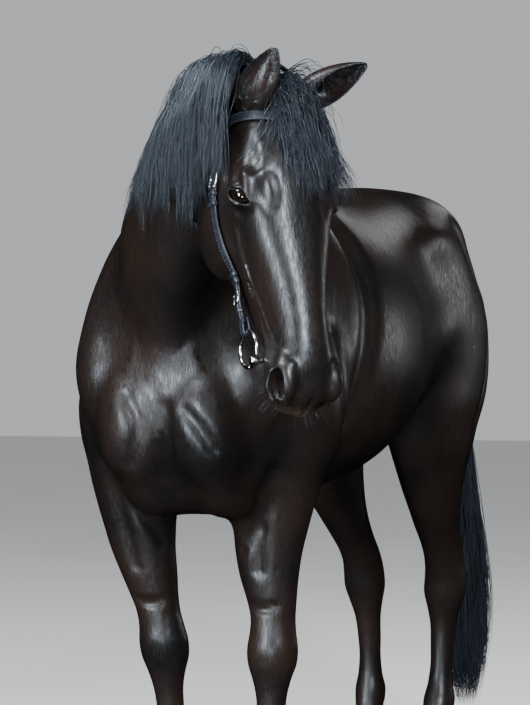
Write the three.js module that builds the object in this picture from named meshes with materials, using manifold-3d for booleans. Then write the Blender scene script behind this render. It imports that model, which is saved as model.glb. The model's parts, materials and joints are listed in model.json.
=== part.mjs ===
// A riding horse standing square, its head turned to its left, wearing a snaffle bridle without reins.
// Millimetres. +X runs to the front of the trunk, +Y to the horse's left, +Z up from the soles.
import * as THREE from "three";
import { mergeVertices } from "three/addons/utils/BufferGeometryUtils.js";
import Module from "manifold-3d";

const wasm = await Module();
wasm.setup();

// ---- driving dimensions -------------------------------------------------------------------------
const GAP = 0.5; // clearance between neighbouring pieces
const FORELEG_TOP = 780; // level where a foreleg meets the trunk
const HINDLEG_TOP = 935; // level where a hind leg meets the trunk
const NECK_BASE = { point: [580, 0, 1330], along: [240, 0, -530] }; // cut between trunk and neck
const HEAD_BACK = { point: [-15, 0, 0], along: [110, 0, -300] }; // cut behind the head, head frame
const JAW_UNDER = { point: [0, 0, -318], along: [1, 0, 0] }; // cut between jaw and neck, head frame
const HEAD_POSE = {
  poll: [1005, 380, 1626],
  nose: [0.213, 0.243, -0.946],
  left: [-0.776, 0.631, 0.025],
};
const CORONET = { toe: 97, heel: 56 }; // height of the hoof in front and behind
const EYE = { centre: [212, 85, -40], radius: 23 };
const NOSTRIL = {
  centre: [585, 62, -58],
  start: [562, 64, -46],
  end: [608, 60, -70],
  radii: [20, 15, 10],
};
const EAR = { length: 154, width: 36, wall: 6 };
const HAIR_LIFT = 5; // from the skin to the underside of mane and forelock
const STRAP = { wide: 20, thick: 4, lift: 2.5 };
const BIT = { centre: [478, 66, -146], ring: 34, wire: 4, bar: 7 };

const COLOURS = {
  coat: [0x1d1613, 0.42, 0],
  hair: [0x101114, 0.5, 0],
  hoof: [0x2a2522, 0.6, 0],
  eye: [0x120b08, 0.08, 0],
  leather: [0x161a20, 0.45, 0],
  steel: [0xb4b8bc, 0.25, 0.9],
};

// Where each foot stands beside a square stance: forward, outward, and the forearm's lean to the left
const STANCE = {
  foreleg_left: { side: 1, forward: 20, out: 4, lean: -20 },
  foreleg_right: { side: -1, forward: -90, out: -14, lean: -30 },
  hindleg_left: { side: 1, forward: 115, out: -15, lean: 0 },
  hindleg_right: { side: -1, forward: -55, out: 0, lean: 0 },
};

// ---- sections: rows of a place along the body and what the outline measures there ---------------
const TRUNK = table(["top", "belly", "half", "widest", "upper", "lower"], [
  [-852, 1330, 1190, 50, 1262, 2.0, 2.0],
  [-830, 1378, 1105, 120, 1262, 2.1, 2.0],
  [-780, 1436, 1025, 186, 1265, 2.2, 2.0],
  [-690, 1498, 968, 232, 1270, 2.3, 2.0],
  [-580, 1544, 945, 256, 1275, 2.4, 2.1],
  [-440, 1568, 942, 266, 1270, 2.4, 2.2],
  [-320, 1560, 930, 264, 1235, 2.2, 2.2],
  [-180, 1542, 882, 280, 1180, 2.1, 2.2],
  [-40, 1530, 842, 304, 1140, 2.0, 2.2],
  [90, 1532, 820, 312, 1125, 1.95, 2.2],
  [200, 1556, 808, 302, 1125, 1.8, 2.2],
  [300, 1590, 800, 284, 1135, 1.6, 2.2],
  [370, 1602, 794, 270, 1140, 1.5, 2.2],
  [450, 1588, 784, 260, 1130, 1.5, 2.3],
  [540, 1530, 786, 250, 1110, 1.7, 2.3],
  [620, 1420, 818, 226, 1080, 1.9, 2.3],
  [672, 1290, 880, 185, 1060, 2.0, 2.2],
  [716, 1160, 960, 90, 1060, 2.0, 2.0],
]);

// A leg's rows go by height; x of its front and back, half widths outwards and inwards, y of its middle
const FORELEG = table(["front", "back", "outer", "inner", "middle", "taper"], [
  [1150, 500, 460, 20, 20, 160, 0.1],
  [1110, 560, 390, 70, 60, 162, 0.1],
  [1040, 600, 344, 98, 86, 165, 0.1],
  [960, 592, 333, 106, 92, 165, 0.15],
  [900, 568, 336, 104, 90, 163, 0.2],
  [850, 554, 348, 102, 88, 160, 0.2],
  [800, 543, 364, 95, 84, 156, 0.2],
  [750, 533, 378, 86, 80, 152, 0.2],
  [700, 525, 389, 76, 74, 149, 0.2],
  [650, 518, 397, 67, 66, 146, 0.2],
  [600, 512, 403, 58, 54, 144, 0.2],
  [560, 509, 406, 53, 48, 142, 0.2],
  [530, 511, 404, 54, 52, 141, 0.25],
  [500, 515, 398, 58, 57, 140, 0.3],
  [465, 511, 401, 56, 55, 139, 0.3],
  [435, 502, 414, 46, 45, 138, 0.25],
  [400, 494, 421, 37, 36, 137, 0.25],
  [350, 490, 421, 32, 32, 136, 0.25],
  [300, 490, 418, 31, 31, 135, 0.25],
  [265, 496, 412, 36, 36, 134, 0.2],
  [230, 505, 402, 43, 43, 133, 0.2],
  [205, 509, 406, 41, 41, 132, 0.2],
  [175, 518, 426, 36, 36, 131, 0.1],
  [145, 531, 443, 38, 38, 130, 0.1],
  [115, 549, 450, 50, 50, 130, 0.1],
  [95, 560, 452, 58, 58, 130, 0.1],
  [40, 592, 452, 62, 62, 130, 0.1],
]);

const HINDLEG = table(["front", "back", "outer", "inner", "middle", "taper"], [
  [1360, -600, -700, 30, 30, 140, 0.1],
  [1320, -520, -780, 80, 80, 140, 0.1],
  [1250, -450, -838, 112, 104, 140, 0.1],
  [1170, -405, -858, 122, 112, 141, 0.1],
  [1090, -372, -860, 124, 112, 144, 0.15],
  [1020, -342, -842, 119, 106, 147, 0.2],
  [960, -342, -816, 108, 96, 148, 0.25],
  [900, -372, -795, 98, 84, 148, 0.3],
  [850, -416, -784, 87, 74, 145, 0.35],
  [800, -468, -784, 77, 66, 141, 0.4],
  [750, -524, -794, 68, 59, 138, 0.45],
  [700, -583, -814, 60, 54, 135, 0.5],
  [655, -638, -844, 54, 50, 133, 0.5],
  [620, -678, -870, 52, 50, 131, 0.5],
  [590, -704, -882, 53, 52, 130, 0.5],
  [555, -722, -878, 57, 55, 129, 0.45],
  [520, -733, -864, 58, 56, 128, 0.4],
  [480, -748, -854, 48, 46, 127, 0.3],
  [440, -762, -850, 38, 37, 126, 0.3],
  [380, -772, -850, 33, 33, 125, 0.3],
  [320, -775, -848, 31, 31, 125, 0.25],
  [275, -771, -850, 35, 35, 125, 0.2],
  [235, -760, -860, 43, 43, 125, 0.2],
  [207, -754, -854, 41, 41, 125, 0.2],
  [176, -744, -832, 36, 36, 125, 0.1],
  [145, -730, -814, 38, 38, 125, 0.1],
  [115, -713, -804, 48, 48, 125, 0.1],
  [95, -702, -800, 56, 56, 125, 0.1],
  [40, -672, -800, 60, 60, 125, 0.1],
]);

// The neck's crest and underside, its half width and the roundness of its section
const NECK = [
  { crest: [300, 0, 1500], under: [560, 0, 960], half: 215, power: 1.9 },
  { crest: [420, 0, 1580], under: [660, 0, 1050], half: 185, power: 1.9 },
  { crest: [525, 2, 1620], under: [722, 14, 1130], half: 145, power: 1.9 },
  { crest: [630, 30, 1655], under: [775, 48, 1205], half: 112, power: 1.9 },
  { crest: [735, 82, 1684], under: [818, 98, 1275], half: 98, power: 2.0 },
  { crest: [828, 150, 1700], under: [850, 152, 1345], half: 91, power: 2.0 },
  { crest: [903, 222, 1702], under: [881, 200, 1405], half: 85, power: 2.1 },
  { crest: [960, 292, 1690], under: [908, 236, 1450], half: 79, power: 2.1 },
  { crest: [1002, 345, 1652], under: [934, 267, 1464], half: 72, power: 2.1 },
];

// The head in its own frame: x from the poll to the muzzle, y to its left, z out of the forehead
const HEAD = table(["top", "bottom", "half", "widest", "upper", "lower"], [
  [-25, -62, -140, 45, -95, 2.0, 2.0],
  [0, -26, -172, 68, -75, 2.0, 2.0],
  [40, 4, -204, 78, -62, 2.1, 2.0],
  [85, 17, -244, 82, -55, 2.2, 2.1],
  [125, 25, -272, 88, -52, 2.3, 2.2],
  [165, 29, -288, 95, -50, 2.4, 2.3],
  [205, 28, -294, 97, -50, 2.4, 2.3],
  [250, 22, -290, 91, -56, 2.4, 2.3],
  [300, 14, -268, 82, -62, 2.3, 2.2],
  [350, 8, -242, 71, -68, 2.3, 2.2],
  [400, 3, -217, 62, -76, 2.3, 2.2],
  [450, -2, -200, 57, -84, 2.3, 2.2],
  [495, -7, -190, 56, -88, 2.3, 2.2],
  [530, -12, -186, 59, -86, 2.3, 2.2],
  [562, -22, -180, 61, -86, 2.3, 2.2],
  [588, -38, -164, 55, -88, 2.2, 2.1],
  [606, -60, -144, 42, -94, 2.1, 2.0],
  [618, -86, -118, 16, -100, 2.0, 2.0],
]);

// The tail hangs from its dock and swings a little to the left: middle, half width, half depth
const TAIL = [
  { at: [-828, 0, 1418], wide: 30, deep: 34 },
  { at: [-872, 2, 1402], wide: 40, deep: 36 },
  { at: [-915, 6, 1340], wide: 52, deep: 38 },
  { at: [-940, 14, 1240], wide: 62, deep: 42 },
  { at: [-955, 26, 1100], wide: 70, deep: 46 },
  { at: [-965, 42, 950], wide: 76, deep: 50 },
  { at: [-975, 58, 800], wide: 80, deep: 52 },
  { at: [-985, 72, 650], wide: 84, deep: 54 },
  { at: [-992, 84, 500], wide: 84, deep: 54 },
  { at: [-994, 92, 370], wide: 72, deep: 46 },
  { at: [-992, 98, 250], wide: 46, deep: 30 },
  { at: [-988, 102, 180], wide: 16, deep: 12 },
];

// ---- curves and small vector helpers ------------------------------------------------------------
function vec(a) {
  return new THREE.Vector3(a[0], a[1], a[2]);
}

// Hermite curve through [place, value] knots with central-difference slopes, held flat past the ends
function throughKnots(places, values) {
  const last = places.length - 1;
  const slope = values.map((_, i) => {
    const a = Math.max(i - 1, 0);
    const b = Math.min(i + 1, last);
    if (i === 0 || i === last) return (values[b] - values[a]) / (places[b] - places[a]);
    const before = (values[i] - values[a]) / (places[i] - places[a]);
    const after = (values[b] - values[i]) / (places[b] - places[i]);
    const share = (places[i] - places[a]) / (places[b] - places[a]);
    return before * (1 - share) + after * share;
  });
  return (x) => {
    const t = THREE.MathUtils.clamp(x, places[0], places[last]);
    let i = 0;
    while (i < last - 1 && t > places[i + 1]) i += 1;
    const h = places[i + 1] - places[i];
    const s = (t - places[i]) / h;
    const r = 1 - s;
    return (1 + 2 * s) * r * r * values[i] + s * r * r * h * slope[i]
      + s * s * (3 - 2 * s) * values[i + 1] + s * s * (s - 1) * h * slope[i + 1];
  };
}

// A table's rows become smooth named columns, sampled once and then read by linear interpolation
function table(names, rows) {
  const sorted = [...rows].sort((a, b) => a[0] - b[0]);
  const places = sorted.map((row) => row[0]);
  const low = places[0];
  const high = places[places.length - 1];
  const samples = 400;
  const columns = names.map((_, c) => {
    const curve = throughKnots(places, sorted.map((row) => row[c + 1]));
    const placeOf = (i) => low + ((high - low) * i) / samples;
    return Float64Array.from({ length: samples + 1 }, (_, i) => curve(placeOf(i)));
  });
  const at = (x) => {
    const t = THREE.MathUtils.clamp((x - low) / (high - low), 0, 1) * samples;
    const i = Math.min(Math.floor(t), samples - 1);
    const row = {};
    names.forEach((name, c) => {
      row[name] = columns[c][i] + (columns[c][i + 1] - columns[c][i]) * (t - i);
    });
    return row;
  };
  return { low, high, at };
}

// ---- the body as a distance-like field: negative inside -----------------------------------------
function smoothMin(a, b, blend) {
  const h = Math.max(blend - Math.abs(a - b), 0) / blend;
  return Math.min(a, b) - (h * h * h * blend) / 6;
}

// How far (u, v) lies out on a superellipse whose outline is 1
function gauge(u, v, power) {
  return (Math.abs(u) ** power + Math.abs(v) ** power) ** (1 / power);
}

function sectionDistance(radius, level, core, scale) {
  return radius < 1 ? -core : (radius - radius / Math.max(level, 1e-6)) * scale;
}

function trunkDistance(p) {
  const s = TRUNK.at(p.x);
  const up = p.z > s.widest;
  const height = up ? s.top - s.widest : s.widest - s.belly;
  const level = gauge(p.y / s.half, (p.z - s.widest) / height, up ? s.upper : s.lower);
  const d = sectionDistance(Math.hypot(p.y, p.z - s.widest), level, Math.min(s.half, height), 0.85);
  const past = Math.max(TRUNK.low - p.x, p.x - TRUNK.high);
  return past > 0 ? Math.hypot(Math.max(d, 0) + 20, past + 20) : d;
}

// How a leg's section is shifted at height z
function legShift(name, z) {
  const stance = STANCE[name];
  const top = name.startsWith("fore") ? 900 : 1050;
  const down = THREE.MathUtils.clamp((top - z) / top, 0, 1) ** 1.3;
  const lean = stance.lean * THREE.MathUtils.smoothstep(z, 500, 730);
  return { x: stance.forward * down, y: stance.side * stance.out * down + lean };
}

function legDistance(p, name) {
  const rows = name.startsWith("fore") ? FORELEG : HINDLEG;
  const s = rows.at(p.z);
  const shift = legShift(name, p.z);
  const middle = (s.front + s.back) / 2;
  const deep = (s.front - s.back) / 2;
  const along = p.x - shift.x - middle;
  const across = (p.y - shift.y) * STANCE[name].side - s.middle;
  const narrowed = 1 - s.taper * THREE.MathUtils.clamp(-along / deep, 0, 1);
  const wide = (across > 0 ? s.outer : s.inner) * narrowed;
  const level = gauge(along / deep, across / wide, 2.2);
  const d = sectionDistance(Math.hypot(along, across), level, Math.min(deep, wide), 0.9);
  const past = Math.max(p.z - rows.high, rows.low - p.z);
  return past > 0 ? Math.max(d, past) : d;
}

// Frames along the neck: middle, up to the crest, left, and forward along the neck
const neckFrames = Array.from({ length: 60 }, (_, i) => {
  const t = (i / 59) * (NECK.length - 1);
  const steps = NECK.map((_, k) => k);
  const read = (pick) => throughKnots(steps, NECK.map(pick))(t);
  const readPoint = (edge) => vec([0, 1, 2].map((axis) => read((s) => s[edge][axis])));
  const crest = readPoint("crest");
  const under = readPoint("under");
  const up = crest.clone().sub(under);
  const height = up.length() / 2;
  up.normalize();
  return {
    mid: crest.add(under).multiplyScalar(0.5),
    up,
    height,
    half: read((s) => s.half),
    power: read((s) => s.power),
  };
});
neckFrames.forEach((frame, i) => {
  const before = neckFrames[Math.max(i - 1, 0)].mid;
  const after = neckFrames[Math.min(i + 1, neckFrames.length - 1)].mid;
  frame.left = frame.up.clone().cross(after.clone().sub(before)).normalize();
  frame.forward = frame.left.clone().cross(frame.up);
});

function neckDistance(p) {
  const ahead = (frame) => frame.forward.dot(p) - frame.forward.dot(frame.mid);
  let i = neckFrames.length - 2;
  while (i > 0 && ahead(neckFrames[i]) <= 0) i -= 1;
  const a = neckFrames[i];
  const b = neckFrames[i + 1];
  const ga = ahead(a);
  const gb = ahead(b);
  const s = THREE.MathUtils.clamp(ga / (Math.abs(ga - gb) < 1e-6 ? 1e-6 : ga - gb), 0, 1);
  const offset = p.clone().sub(a.mid.clone().lerp(b.mid, s));
  const across = offset.dot(a.left.clone().lerp(b.left, s));
  const upward = offset.dot(a.up.clone().lerp(b.up, s));
  const height = a.height + (b.height - a.height) * s;
  const crestward = THREE.MathUtils.clamp(upward / height, 0, 1) ** 1.2;
  const wide = (a.half + (b.half - a.half) * s) * (1 - 0.38 * crestward);
  const level = gauge(across / wide, upward / height, a.power + (b.power - a.power) * s);
  const d = sectionDistance(Math.hypot(across, upward), level, Math.min(wide, height), 0.9);
  const past = Math.max(-ahead(neckFrames[0]), ahead(neckFrames[neckFrames.length - 1]));
  return past > 0 ? Math.max(d, past) : d;
}

const nose = vec(HEAD_POSE.nose).normalize();
const left = vec(HEAD_POSE.left);
left.addScaledVector(nose, -left.dot(nose)).normalize();
const headMatrix = new THREE.Matrix4().makeBasis(nose, left, nose.clone().cross(left));
headMatrix.setPosition(...HEAD_POSE.poll);
const headInverse = headMatrix.clone().invert();
const fromHead = (a) => vec(a).applyMatrix4(headMatrix);

function skullDistance(world) {
  const p = world.clone().applyMatrix4(headInverse);
  const s = HEAD.at(p.x);
  const up = p.z > s.widest;
  const height = up ? s.top - s.widest : s.widest - s.bottom;
  const narrowing = up ? 1 : 1 - 0.3 * THREE.MathUtils.clamp((s.widest - p.z) / height, 0, 1) ** 1.5;
  const wide = s.half * narrowing;
  const level = gauge(p.y / wide, (p.z - s.widest) / height, up ? s.upper : s.lower);
  const d = sectionDistance(Math.hypot(p.y, p.z - s.widest), level, Math.min(wide, height), 0.9);
  const past = Math.max(HEAD.low - p.x, p.x - HEAD.high);
  return past > 0 ? Math.hypot(Math.max(d, 0) + 12, past + 12) : d;
}

const shapes = []; // each adds to the body within its own box

function addShape(distance, low, high, blend) {
  shapes.push({ distance, box: new THREE.Box3(vec(low), vec(high)), blend });
}

// Both sides of a place and of its directions, as [sign, mirrored] pairs
function sides(mirrored) {
  return mirrored ? [1, -1] : [1];
}

// An ellipsoid; `line` gives two places that its first radius runs between
function addBall(centre, radii, blend, { line, inHead = false, mirrored = true } = {}) {
  for (const side of sides(mirrored)) {
    const flip = (a) => new THREE.Vector3(a[0], a[1] * side, a[2]);
    const turn = new THREE.Matrix4();
    if (line) {
      const x = flip(line[1]).sub(flip(line[0])).normalize();
      const y = new THREE.Vector3(0, 1, 0).addScaledVector(x, -x.y).normalize();
      turn.makeBasis(x, y, x.clone().cross(y));
    }
    turn.setPosition(flip(centre));
    if (inHead) turn.premultiply(headMatrix);
    const inverse = turn.clone().invert();
    const middle = new THREE.Vector3().setFromMatrixPosition(turn);
    const reach = Math.max(...radii) + blend;
    const distance = (world) => {
      const p = world.clone().applyMatrix4(inverse);
      const k0 = Math.hypot(p.x / radii[0], p.y / radii[1], p.z / radii[2]);
      const k1 = Math.hypot(p.x / radii[0] ** 2, p.y / radii[1] ** 2, p.z / radii[2] ** 2);
      return k1 < 1e-9 ? -Math.min(...radii) : (k0 * (k0 - 1)) / k1;
    };
    const low = middle.clone().subScalar(reach).toArray();
    addShape(distance, low, middle.clone().addScalar(reach).toArray(), blend);
  }
}

// A rod with round ends, from one radius to another
function addRod(from, to, radiusFrom, radiusTo, blend, inHead = true) {
  for (const side of sides(true)) {
    const place = (a) => {
      const p = new THREE.Vector3(a[0], a[1] * side, a[2]);
      return inHead ? p.applyMatrix4(headMatrix) : p;
    };
    const a = place(from);
    const b = place(to);
    const ab = b.clone().sub(a);
    const distance = (p) => {
      const t = THREE.MathUtils.clamp(p.clone().sub(a).dot(ab) / ab.lengthSq(), 0, 1);
      return p.distanceTo(a.clone().addScaledVector(ab, t)) - (radiusFrom + (radiusTo - radiusFrom) * t);
    };
    const reach = Math.max(radiusFrom, radiusTo) + blend;
    const low = a.clone().min(b).subScalar(reach).toArray();
    addShape(distance, low, a.clone().max(b).addScalar(reach).toArray(), blend);
  }
}

function buildShapes() {
  addShape(trunkDistance, [-930, -400, 720], [820, 400, 1680], 30);
  addBall([-520, 112, 1436], [205, 118, 112], 60); // croup
  addBall([-372, 214, 1402], [66, 40, 46], 90); // point of hip
  addBall([-590, 150, 1190], [205, 106, 235], 70); // thigh
  addBall([-770, 102, 1215], [84, 84, 215], 60); // buttock
  addBall([500, 156, 1300], [255, 72, 95], 70, { line: [[400, 60, 1550], [640, 190, 1120]] }); // scapula
  addBall([452, 208, 1030], [130, 86, 170], 60); // back of the upper arm
  addBall([632, 166, 1080], [72, 68, 100], 70); // point of shoulder
  addBall([650, 84, 985], [94, 92, 142], 36); // breast
  addBall([560, 84, 868], [112, 78, 88], 45); // breast between the forelegs
  for (const name of Object.keys(STANCE)) {
    const [back, front, top] = name.startsWith("fore") ? [150, 800, 1220] : [-1000, -250, 1430];
    const [right, far] = name.endsWith("left") ? [-20, 340] : [-340, 20];
    addShape((p) => legDistance(p, name), [back, right, 20], [front, far, top], 60);
  }
  addShape(neckDistance, [200, -260, 850], [1100, 480, 1800], 70);
  const reach = 500;
  const middle = fromHead([300, 0, -130]);
  const low = middle.clone().subScalar(reach).toArray();
  addShape(skullDistance, low, middle.clone().addScalar(reach).toArray(), 40);
  const inHead = true;
  addBall([205, 56, -186], [112, 38, 96], 24, { inHead }); // cheek
  addRod([186, 84, -8], [232, 88, -22], 17, 15, 26); // brow
  addRod([120, 74, -62], [190, 92, -50], 13, 14, 26); // cheek arch
  addRod([196, 90, -58], [240, 84, -66], 12, 12, 22); // rim under the eye
  addRod([240, 84, -84], [350, 66, -108], 10, 7, 24); // facial crest
  addBall([562, 48, -58], [46, 22, 32], 20, { inHead }); // nostril wing
  addBall([584, 0, -84], [34, 48, 46], 20, { inHead, mirrored: false }); // upper lip
  addBall([552, 0, -152], [46, 42, 30], 20, { inHead, mirrored: false }); // lower lip and chin
}
buildShapes();

function body(p) {
  let d = 1000;
  for (const shape of shapes) {
    if (!shape.box.containsPoint(p)) continue;
    d = smoothMin(d, shape.distance(p), shape.blend);
  }
  return d;
}

// Distances past the two cutting planes, positive towards the neck
function planeOf({ point, along }, toWorld = new THREE.Matrix4()) {
  const a = vec(along).transformDirection(toWorld);
  const across = new THREE.Vector3(0, 1, 0).transformDirection(toWorld);
  const normal = across.cross(a).normalize();
  return new THREE.Plane().setFromNormalAndCoplanarPoint(normal, vec(point).applyMatrix4(toWorld));
}
const neckBase = planeOf(NECK_BASE); // positive ahead of the trunk
const headBack = planeOf(HEAD_BACK, headMatrix); // positive behind the head
const jawUnder = planeOf(JAW_UNDER, headMatrix); // positive below the jaw
if (neckBase.normal.x < 0) neckBase.negate();
for (const plane of [headBack, jawUnder]) {
  if (plane.distanceToPoint(fromHead([300, 0, -100])) > 0) plane.negate();
}

// ---- closed solids ------------------------------------------------------------------------------
// Where a ray that starts inside first leaves the surface
function reachOut(origin, direction, distance) {
  const step = 6;
  const outside = (r) => distance(origin.clone().addScaledVector(direction, r)) > 0;
  let far = step;
  while (far < 900 && !outside(far)) far += step;
  let near = far - step;
  for (let i = 0; i < 12; i += 1) {
    const middle = (near + far) / 2;
    if (outside(middle)) far = middle;
    else near = middle;
  }
  return near;
}

// A ring of surface points around a frame's middle; `lean` tips its rays towards the frame's forward
function ringOf(frame, count, distance, lean = 0, grow = 0) {
  return Array.from({ length: count }, (_, i) => {
    const angle = (i / count) * 2 * Math.PI;
    const direction = frame.left.clone().multiplyScalar(Math.cos(angle) * Math.cos(lean))
      .addScaledVector(frame.up, Math.sin(angle) * Math.cos(lean))
      .addScaledVector(frame.forward, Math.sin(lean));
    return frame.mid.clone().addScaledVector(direction, reachOut(frame.mid, direction, distance) + grow);
  });
}

function geometryFrom(points, triangles) {
  const geometry = new THREE.BufferGeometry();
  geometry.setAttribute("position", new THREE.Float32BufferAttribute(points.flatMap((p) => p.toArray()), 3));
  let volume = 0;
  for (const [a, b, c] of triangles) volume += points[a].dot(points[b].clone().cross(points[c]));
  geometry.setIndex(triangles.flatMap(([a, b, c]) => (volume > 0 ? [a, b, c] : [a, c, b])));
  return geometry;
}

// A closed body through rings of equal length, with a fan on the point that closes each end
function ringSolid(rings, start, end) {
  const count = rings[0].length;
  const mean = (ring) => ring.reduce((sum, p) => sum.add(p), new THREE.Vector3()).divideScalar(count);
  const points = [...rings.flat(), start ?? mean(rings[0]), end ?? mean(rings[rings.length - 1])];
  const first = rings.length * count;
  const lastRing = (rings.length - 1) * count;
  const triangles = [];
  for (let j = 0; j < count; j += 1) {
    const k = (j + 1) % count;
    for (let i = 0; i < rings.length - 1; i += 1) {
      const a = i * count;
      triangles.push([a + j, a + k, a + count + k], [a + j, a + count + k, a + count + j]);
    }
    triangles.push([first, k, j], [first + 1, lastRing + j, lastRing + k]);
  }
  return solidOf(geometryFrom(points, triangles));
}

// A closed sheet between an inner and an outer grid of points
function shellSolid(inner, outer) {
  const rows = inner.length;
  const columns = inner[0].length;
  const points = [...inner.flat(), ...outer.flat()];
  const at = (side, i, j) => side * rows * columns + i * columns + j;
  const triangles = [];
  const quad = (a, b, c, d) => triangles.push([a, b, c], [a, c, d]);
  for (let i = 0; i < rows - 1; i += 1) {
    for (let j = 0; j < columns - 1; j += 1) {
      triangles.push([at(1, i, j), at(1, i, j + 1), at(1, i + 1, j + 1)]);
      triangles.push([at(1, i, j), at(1, i + 1, j + 1), at(1, i + 1, j)]);
      triangles.push([at(0, i, j), at(0, i + 1, j + 1), at(0, i, j + 1)]);
      triangles.push([at(0, i, j), at(0, i + 1, j), at(0, i + 1, j + 1)]);
    }
    quad(at(0, i, 0), at(1, i, 0), at(1, i + 1, 0), at(0, i + 1, 0));
    const end = columns - 1;
    quad(at(0, i, end), at(0, i + 1, end), at(1, i + 1, end), at(1, i, end));
  }
  for (let j = 0; j < columns - 1; j += 1) {
    quad(at(0, 0, j), at(0, 0, j + 1), at(1, 0, j + 1), at(1, 0, j));
    const end = rows - 1;
    quad(at(0, end, j), at(1, end, j), at(1, end, j + 1), at(0, end, j + 1));
  }
  return solidOf(geometryFrom(points, triangles));
}

function solidOf(source) {
  const geometry = source.clone();
  for (const name of ["normal", "uv"]) geometry.deleteAttribute(name);
  const merged = mergeVertices(geometry, 1e-4);
  const mesh = new wasm.Mesh({
    numProp: 3,
    vertProperties: new Float32Array(merged.attributes.position.array),
    triVerts: new Uint32Array(merged.index.array),
  });
  return new wasm.Manifold(mesh);
}

function geometryOf(solid) {
  const mesh = solid.getMesh();
  const geometry = new THREE.BufferGeometry();
  const positions = new Float32Array(mesh.numVert * 3);
  for (let i = 0; i < mesh.numVert; i += 1) {
    for (let k = 0; k < 3; k += 1) positions[i * 3 + k] = mesh.vertProperties[i * mesh.numProp + k];
  }
  geometry.setAttribute("position", new THREE.BufferAttribute(positions, 3));
  geometry.setIndex(new THREE.BufferAttribute(new Uint32Array(mesh.triVerts), 1));
  return geometry;
}

function boxSolid(low, high) {
  const size = vec(high).sub(vec(low));
  const middle = vec(low).add(vec(high)).multiplyScalar(0.5);
  return solidOf(new THREE.BoxGeometry(size.x, size.y, size.z).translate(...middle.toArray()));
}

// Everything on the plane's positive side, from `offset` beyond it
function beyond(plane, offset) {
  const size = 6000;
  const geometry = new THREE.BoxGeometry(size, size, size).translate(0, 0, size / 2 + offset);
  const turn = new THREE.Quaternion().setFromUnitVectors(new THREE.Vector3(0, 0, 1), plane.normal);
  geometry.applyQuaternion(turn);
  const foot = plane.normal.clone().multiplyScalar(-plane.constant);
  return solidOf(geometry.translate(...foot.toArray()));
}

// ---- trunk --------------------------------------------------------------------------------------
function legTopAt(x) {
  return x < -330 ? HINDLEG_TOP : FORELEG_TOP;
}

function makeTrunk(grow = 0) {
  const region = (p) => Math.max(body(p), neckBase.distanceToPoint(p) - 200, legTopAt(p.x) - 70 - p.z);
  const frame = (x) => ({
    mid: new THREE.Vector3(x, 0, TRUNK.at(x).widest),
    left: new THREE.Vector3(0, 1, 0),
    up: new THREE.Vector3(0, 0, 1),
    forward: new THREE.Vector3(1, 0, 0),
  });
  const rear = frame(-690);
  const front = frame(590);
  front.mid.z = 1040;
  const count = 28;
  const ring = (f, degrees) => ringOf(f, count, region, THREE.MathUtils.degToRad(degrees), grow);
  const straight = Array.from({ length: 18 }, (_, i) => ring(frame(-690 + (1280 * i) / 18), 0));
  const rings = [
    ...[-74, -54, -36, -18].map((lean) => ring(rear, lean)),
    ...straight,
    ...[0, 15, 30, 45, 60, 76].map((lean) => ring(front, lean)),
  ];
  const pole = (f, way) => {
    const direction = f.forward.clone().multiplyScalar(way);
    return f.mid.clone().addScaledVector(f.forward, way * reachOut(f.mid, direction, region));
  };
  return ringSolid(rings, pole(rear, -1), pole(front, 1))
    .subtract(beyond(neckBase, 0))
    .subtract(boxSolid([150, -500, 0], [1000, 500, FORELEG_TOP]))
    .subtract(boxSolid([-1200, -500, 0], [-318, 500, HINDLEG_TOP]));
}

// ---- neck ---------------------------------------------------------------------------------------
const NECK_RAYS = 24;
const inHeadZone = (p) => Math.min(-headBack.distanceToPoint(p), -jawUnder.distanceToPoint(p));
const neckRegion = (p) => Math.max(body(p), -neckBase.distanceToPoint(p) - 60, inHeadZone(p) - 60);
const NECK_RINGS = 13;
const neckRingFrames = Array.from({ length: NECK_RINGS }, (_, i) => {
  const atCut = neckFrames.findIndex((frame) => neckBase.distanceToPoint(frame.mid) > 0);
  const share = i / (NECK_RINGS - 1);
  const frame = neckFrames[Math.round(THREE.MathUtils.lerp(atCut, neckFrames.length - 1, share))];
  const alongCut = 1 - THREE.MathUtils.smoothstep(i, 0, 4);
  const forward = frame.forward.clone().lerp(neckBase.normal, alongCut).normalize();
  const left = frame.left.clone().addScaledVector(forward, -frame.left.dot(forward)).normalize();
  const mid = frame.mid.clone();
  if (i === 0) mid.addScaledVector(neckBase.normal, -neckBase.distanceToPoint(mid) - GAP);
  return { mid, forward, left, up: forward.clone().cross(left) };
});

function neckRings(grow = 0) {
  return neckRingFrames.map((frame) => ringOf(frame, NECK_RAYS, neckRegion, 0, grow));
}

function neckSolid(grow = 0) {
  return ringSolid(neckRings(grow));
}

function makeNeck() {
  return neckSolid().subtract(beyond(neckBase.clone().negate(), -GAP)).subtract(headZone());
}

// Everything ahead of the cut behind the head and above the one below the jaw
function headZone() {
  return beyond(headBack.clone().negate(), 0).subtract(beyond(jawUnder, 0));
}

// ---- head, eyes and ears ------------------------------------------------------------------------
const HEAD_RAYS = 26;
const HEAD_RINGS = 23;
const headRegion = (p) =>
  Math.max(body(p), headBack.distanceToPoint(p) - 45, jawUnder.distanceToPoint(p) - 12);

// Ring frames down the head: parallel to the cut behind it at first, square to the nose from the eyes on
const headFrames = Array.from({ length: HEAD_RINGS }, (_, i) => {
  const x = THREE.MathUtils.lerp(-20, 575, i / (HEAD_RINGS - 1));
  return headFrame(x, headTilt(x));
});

function headTilt(x) {
  return THREE.MathUtils.degToRad(20) * (1 - THREE.MathUtils.smoothstep(x, 10, 200));
}

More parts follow.
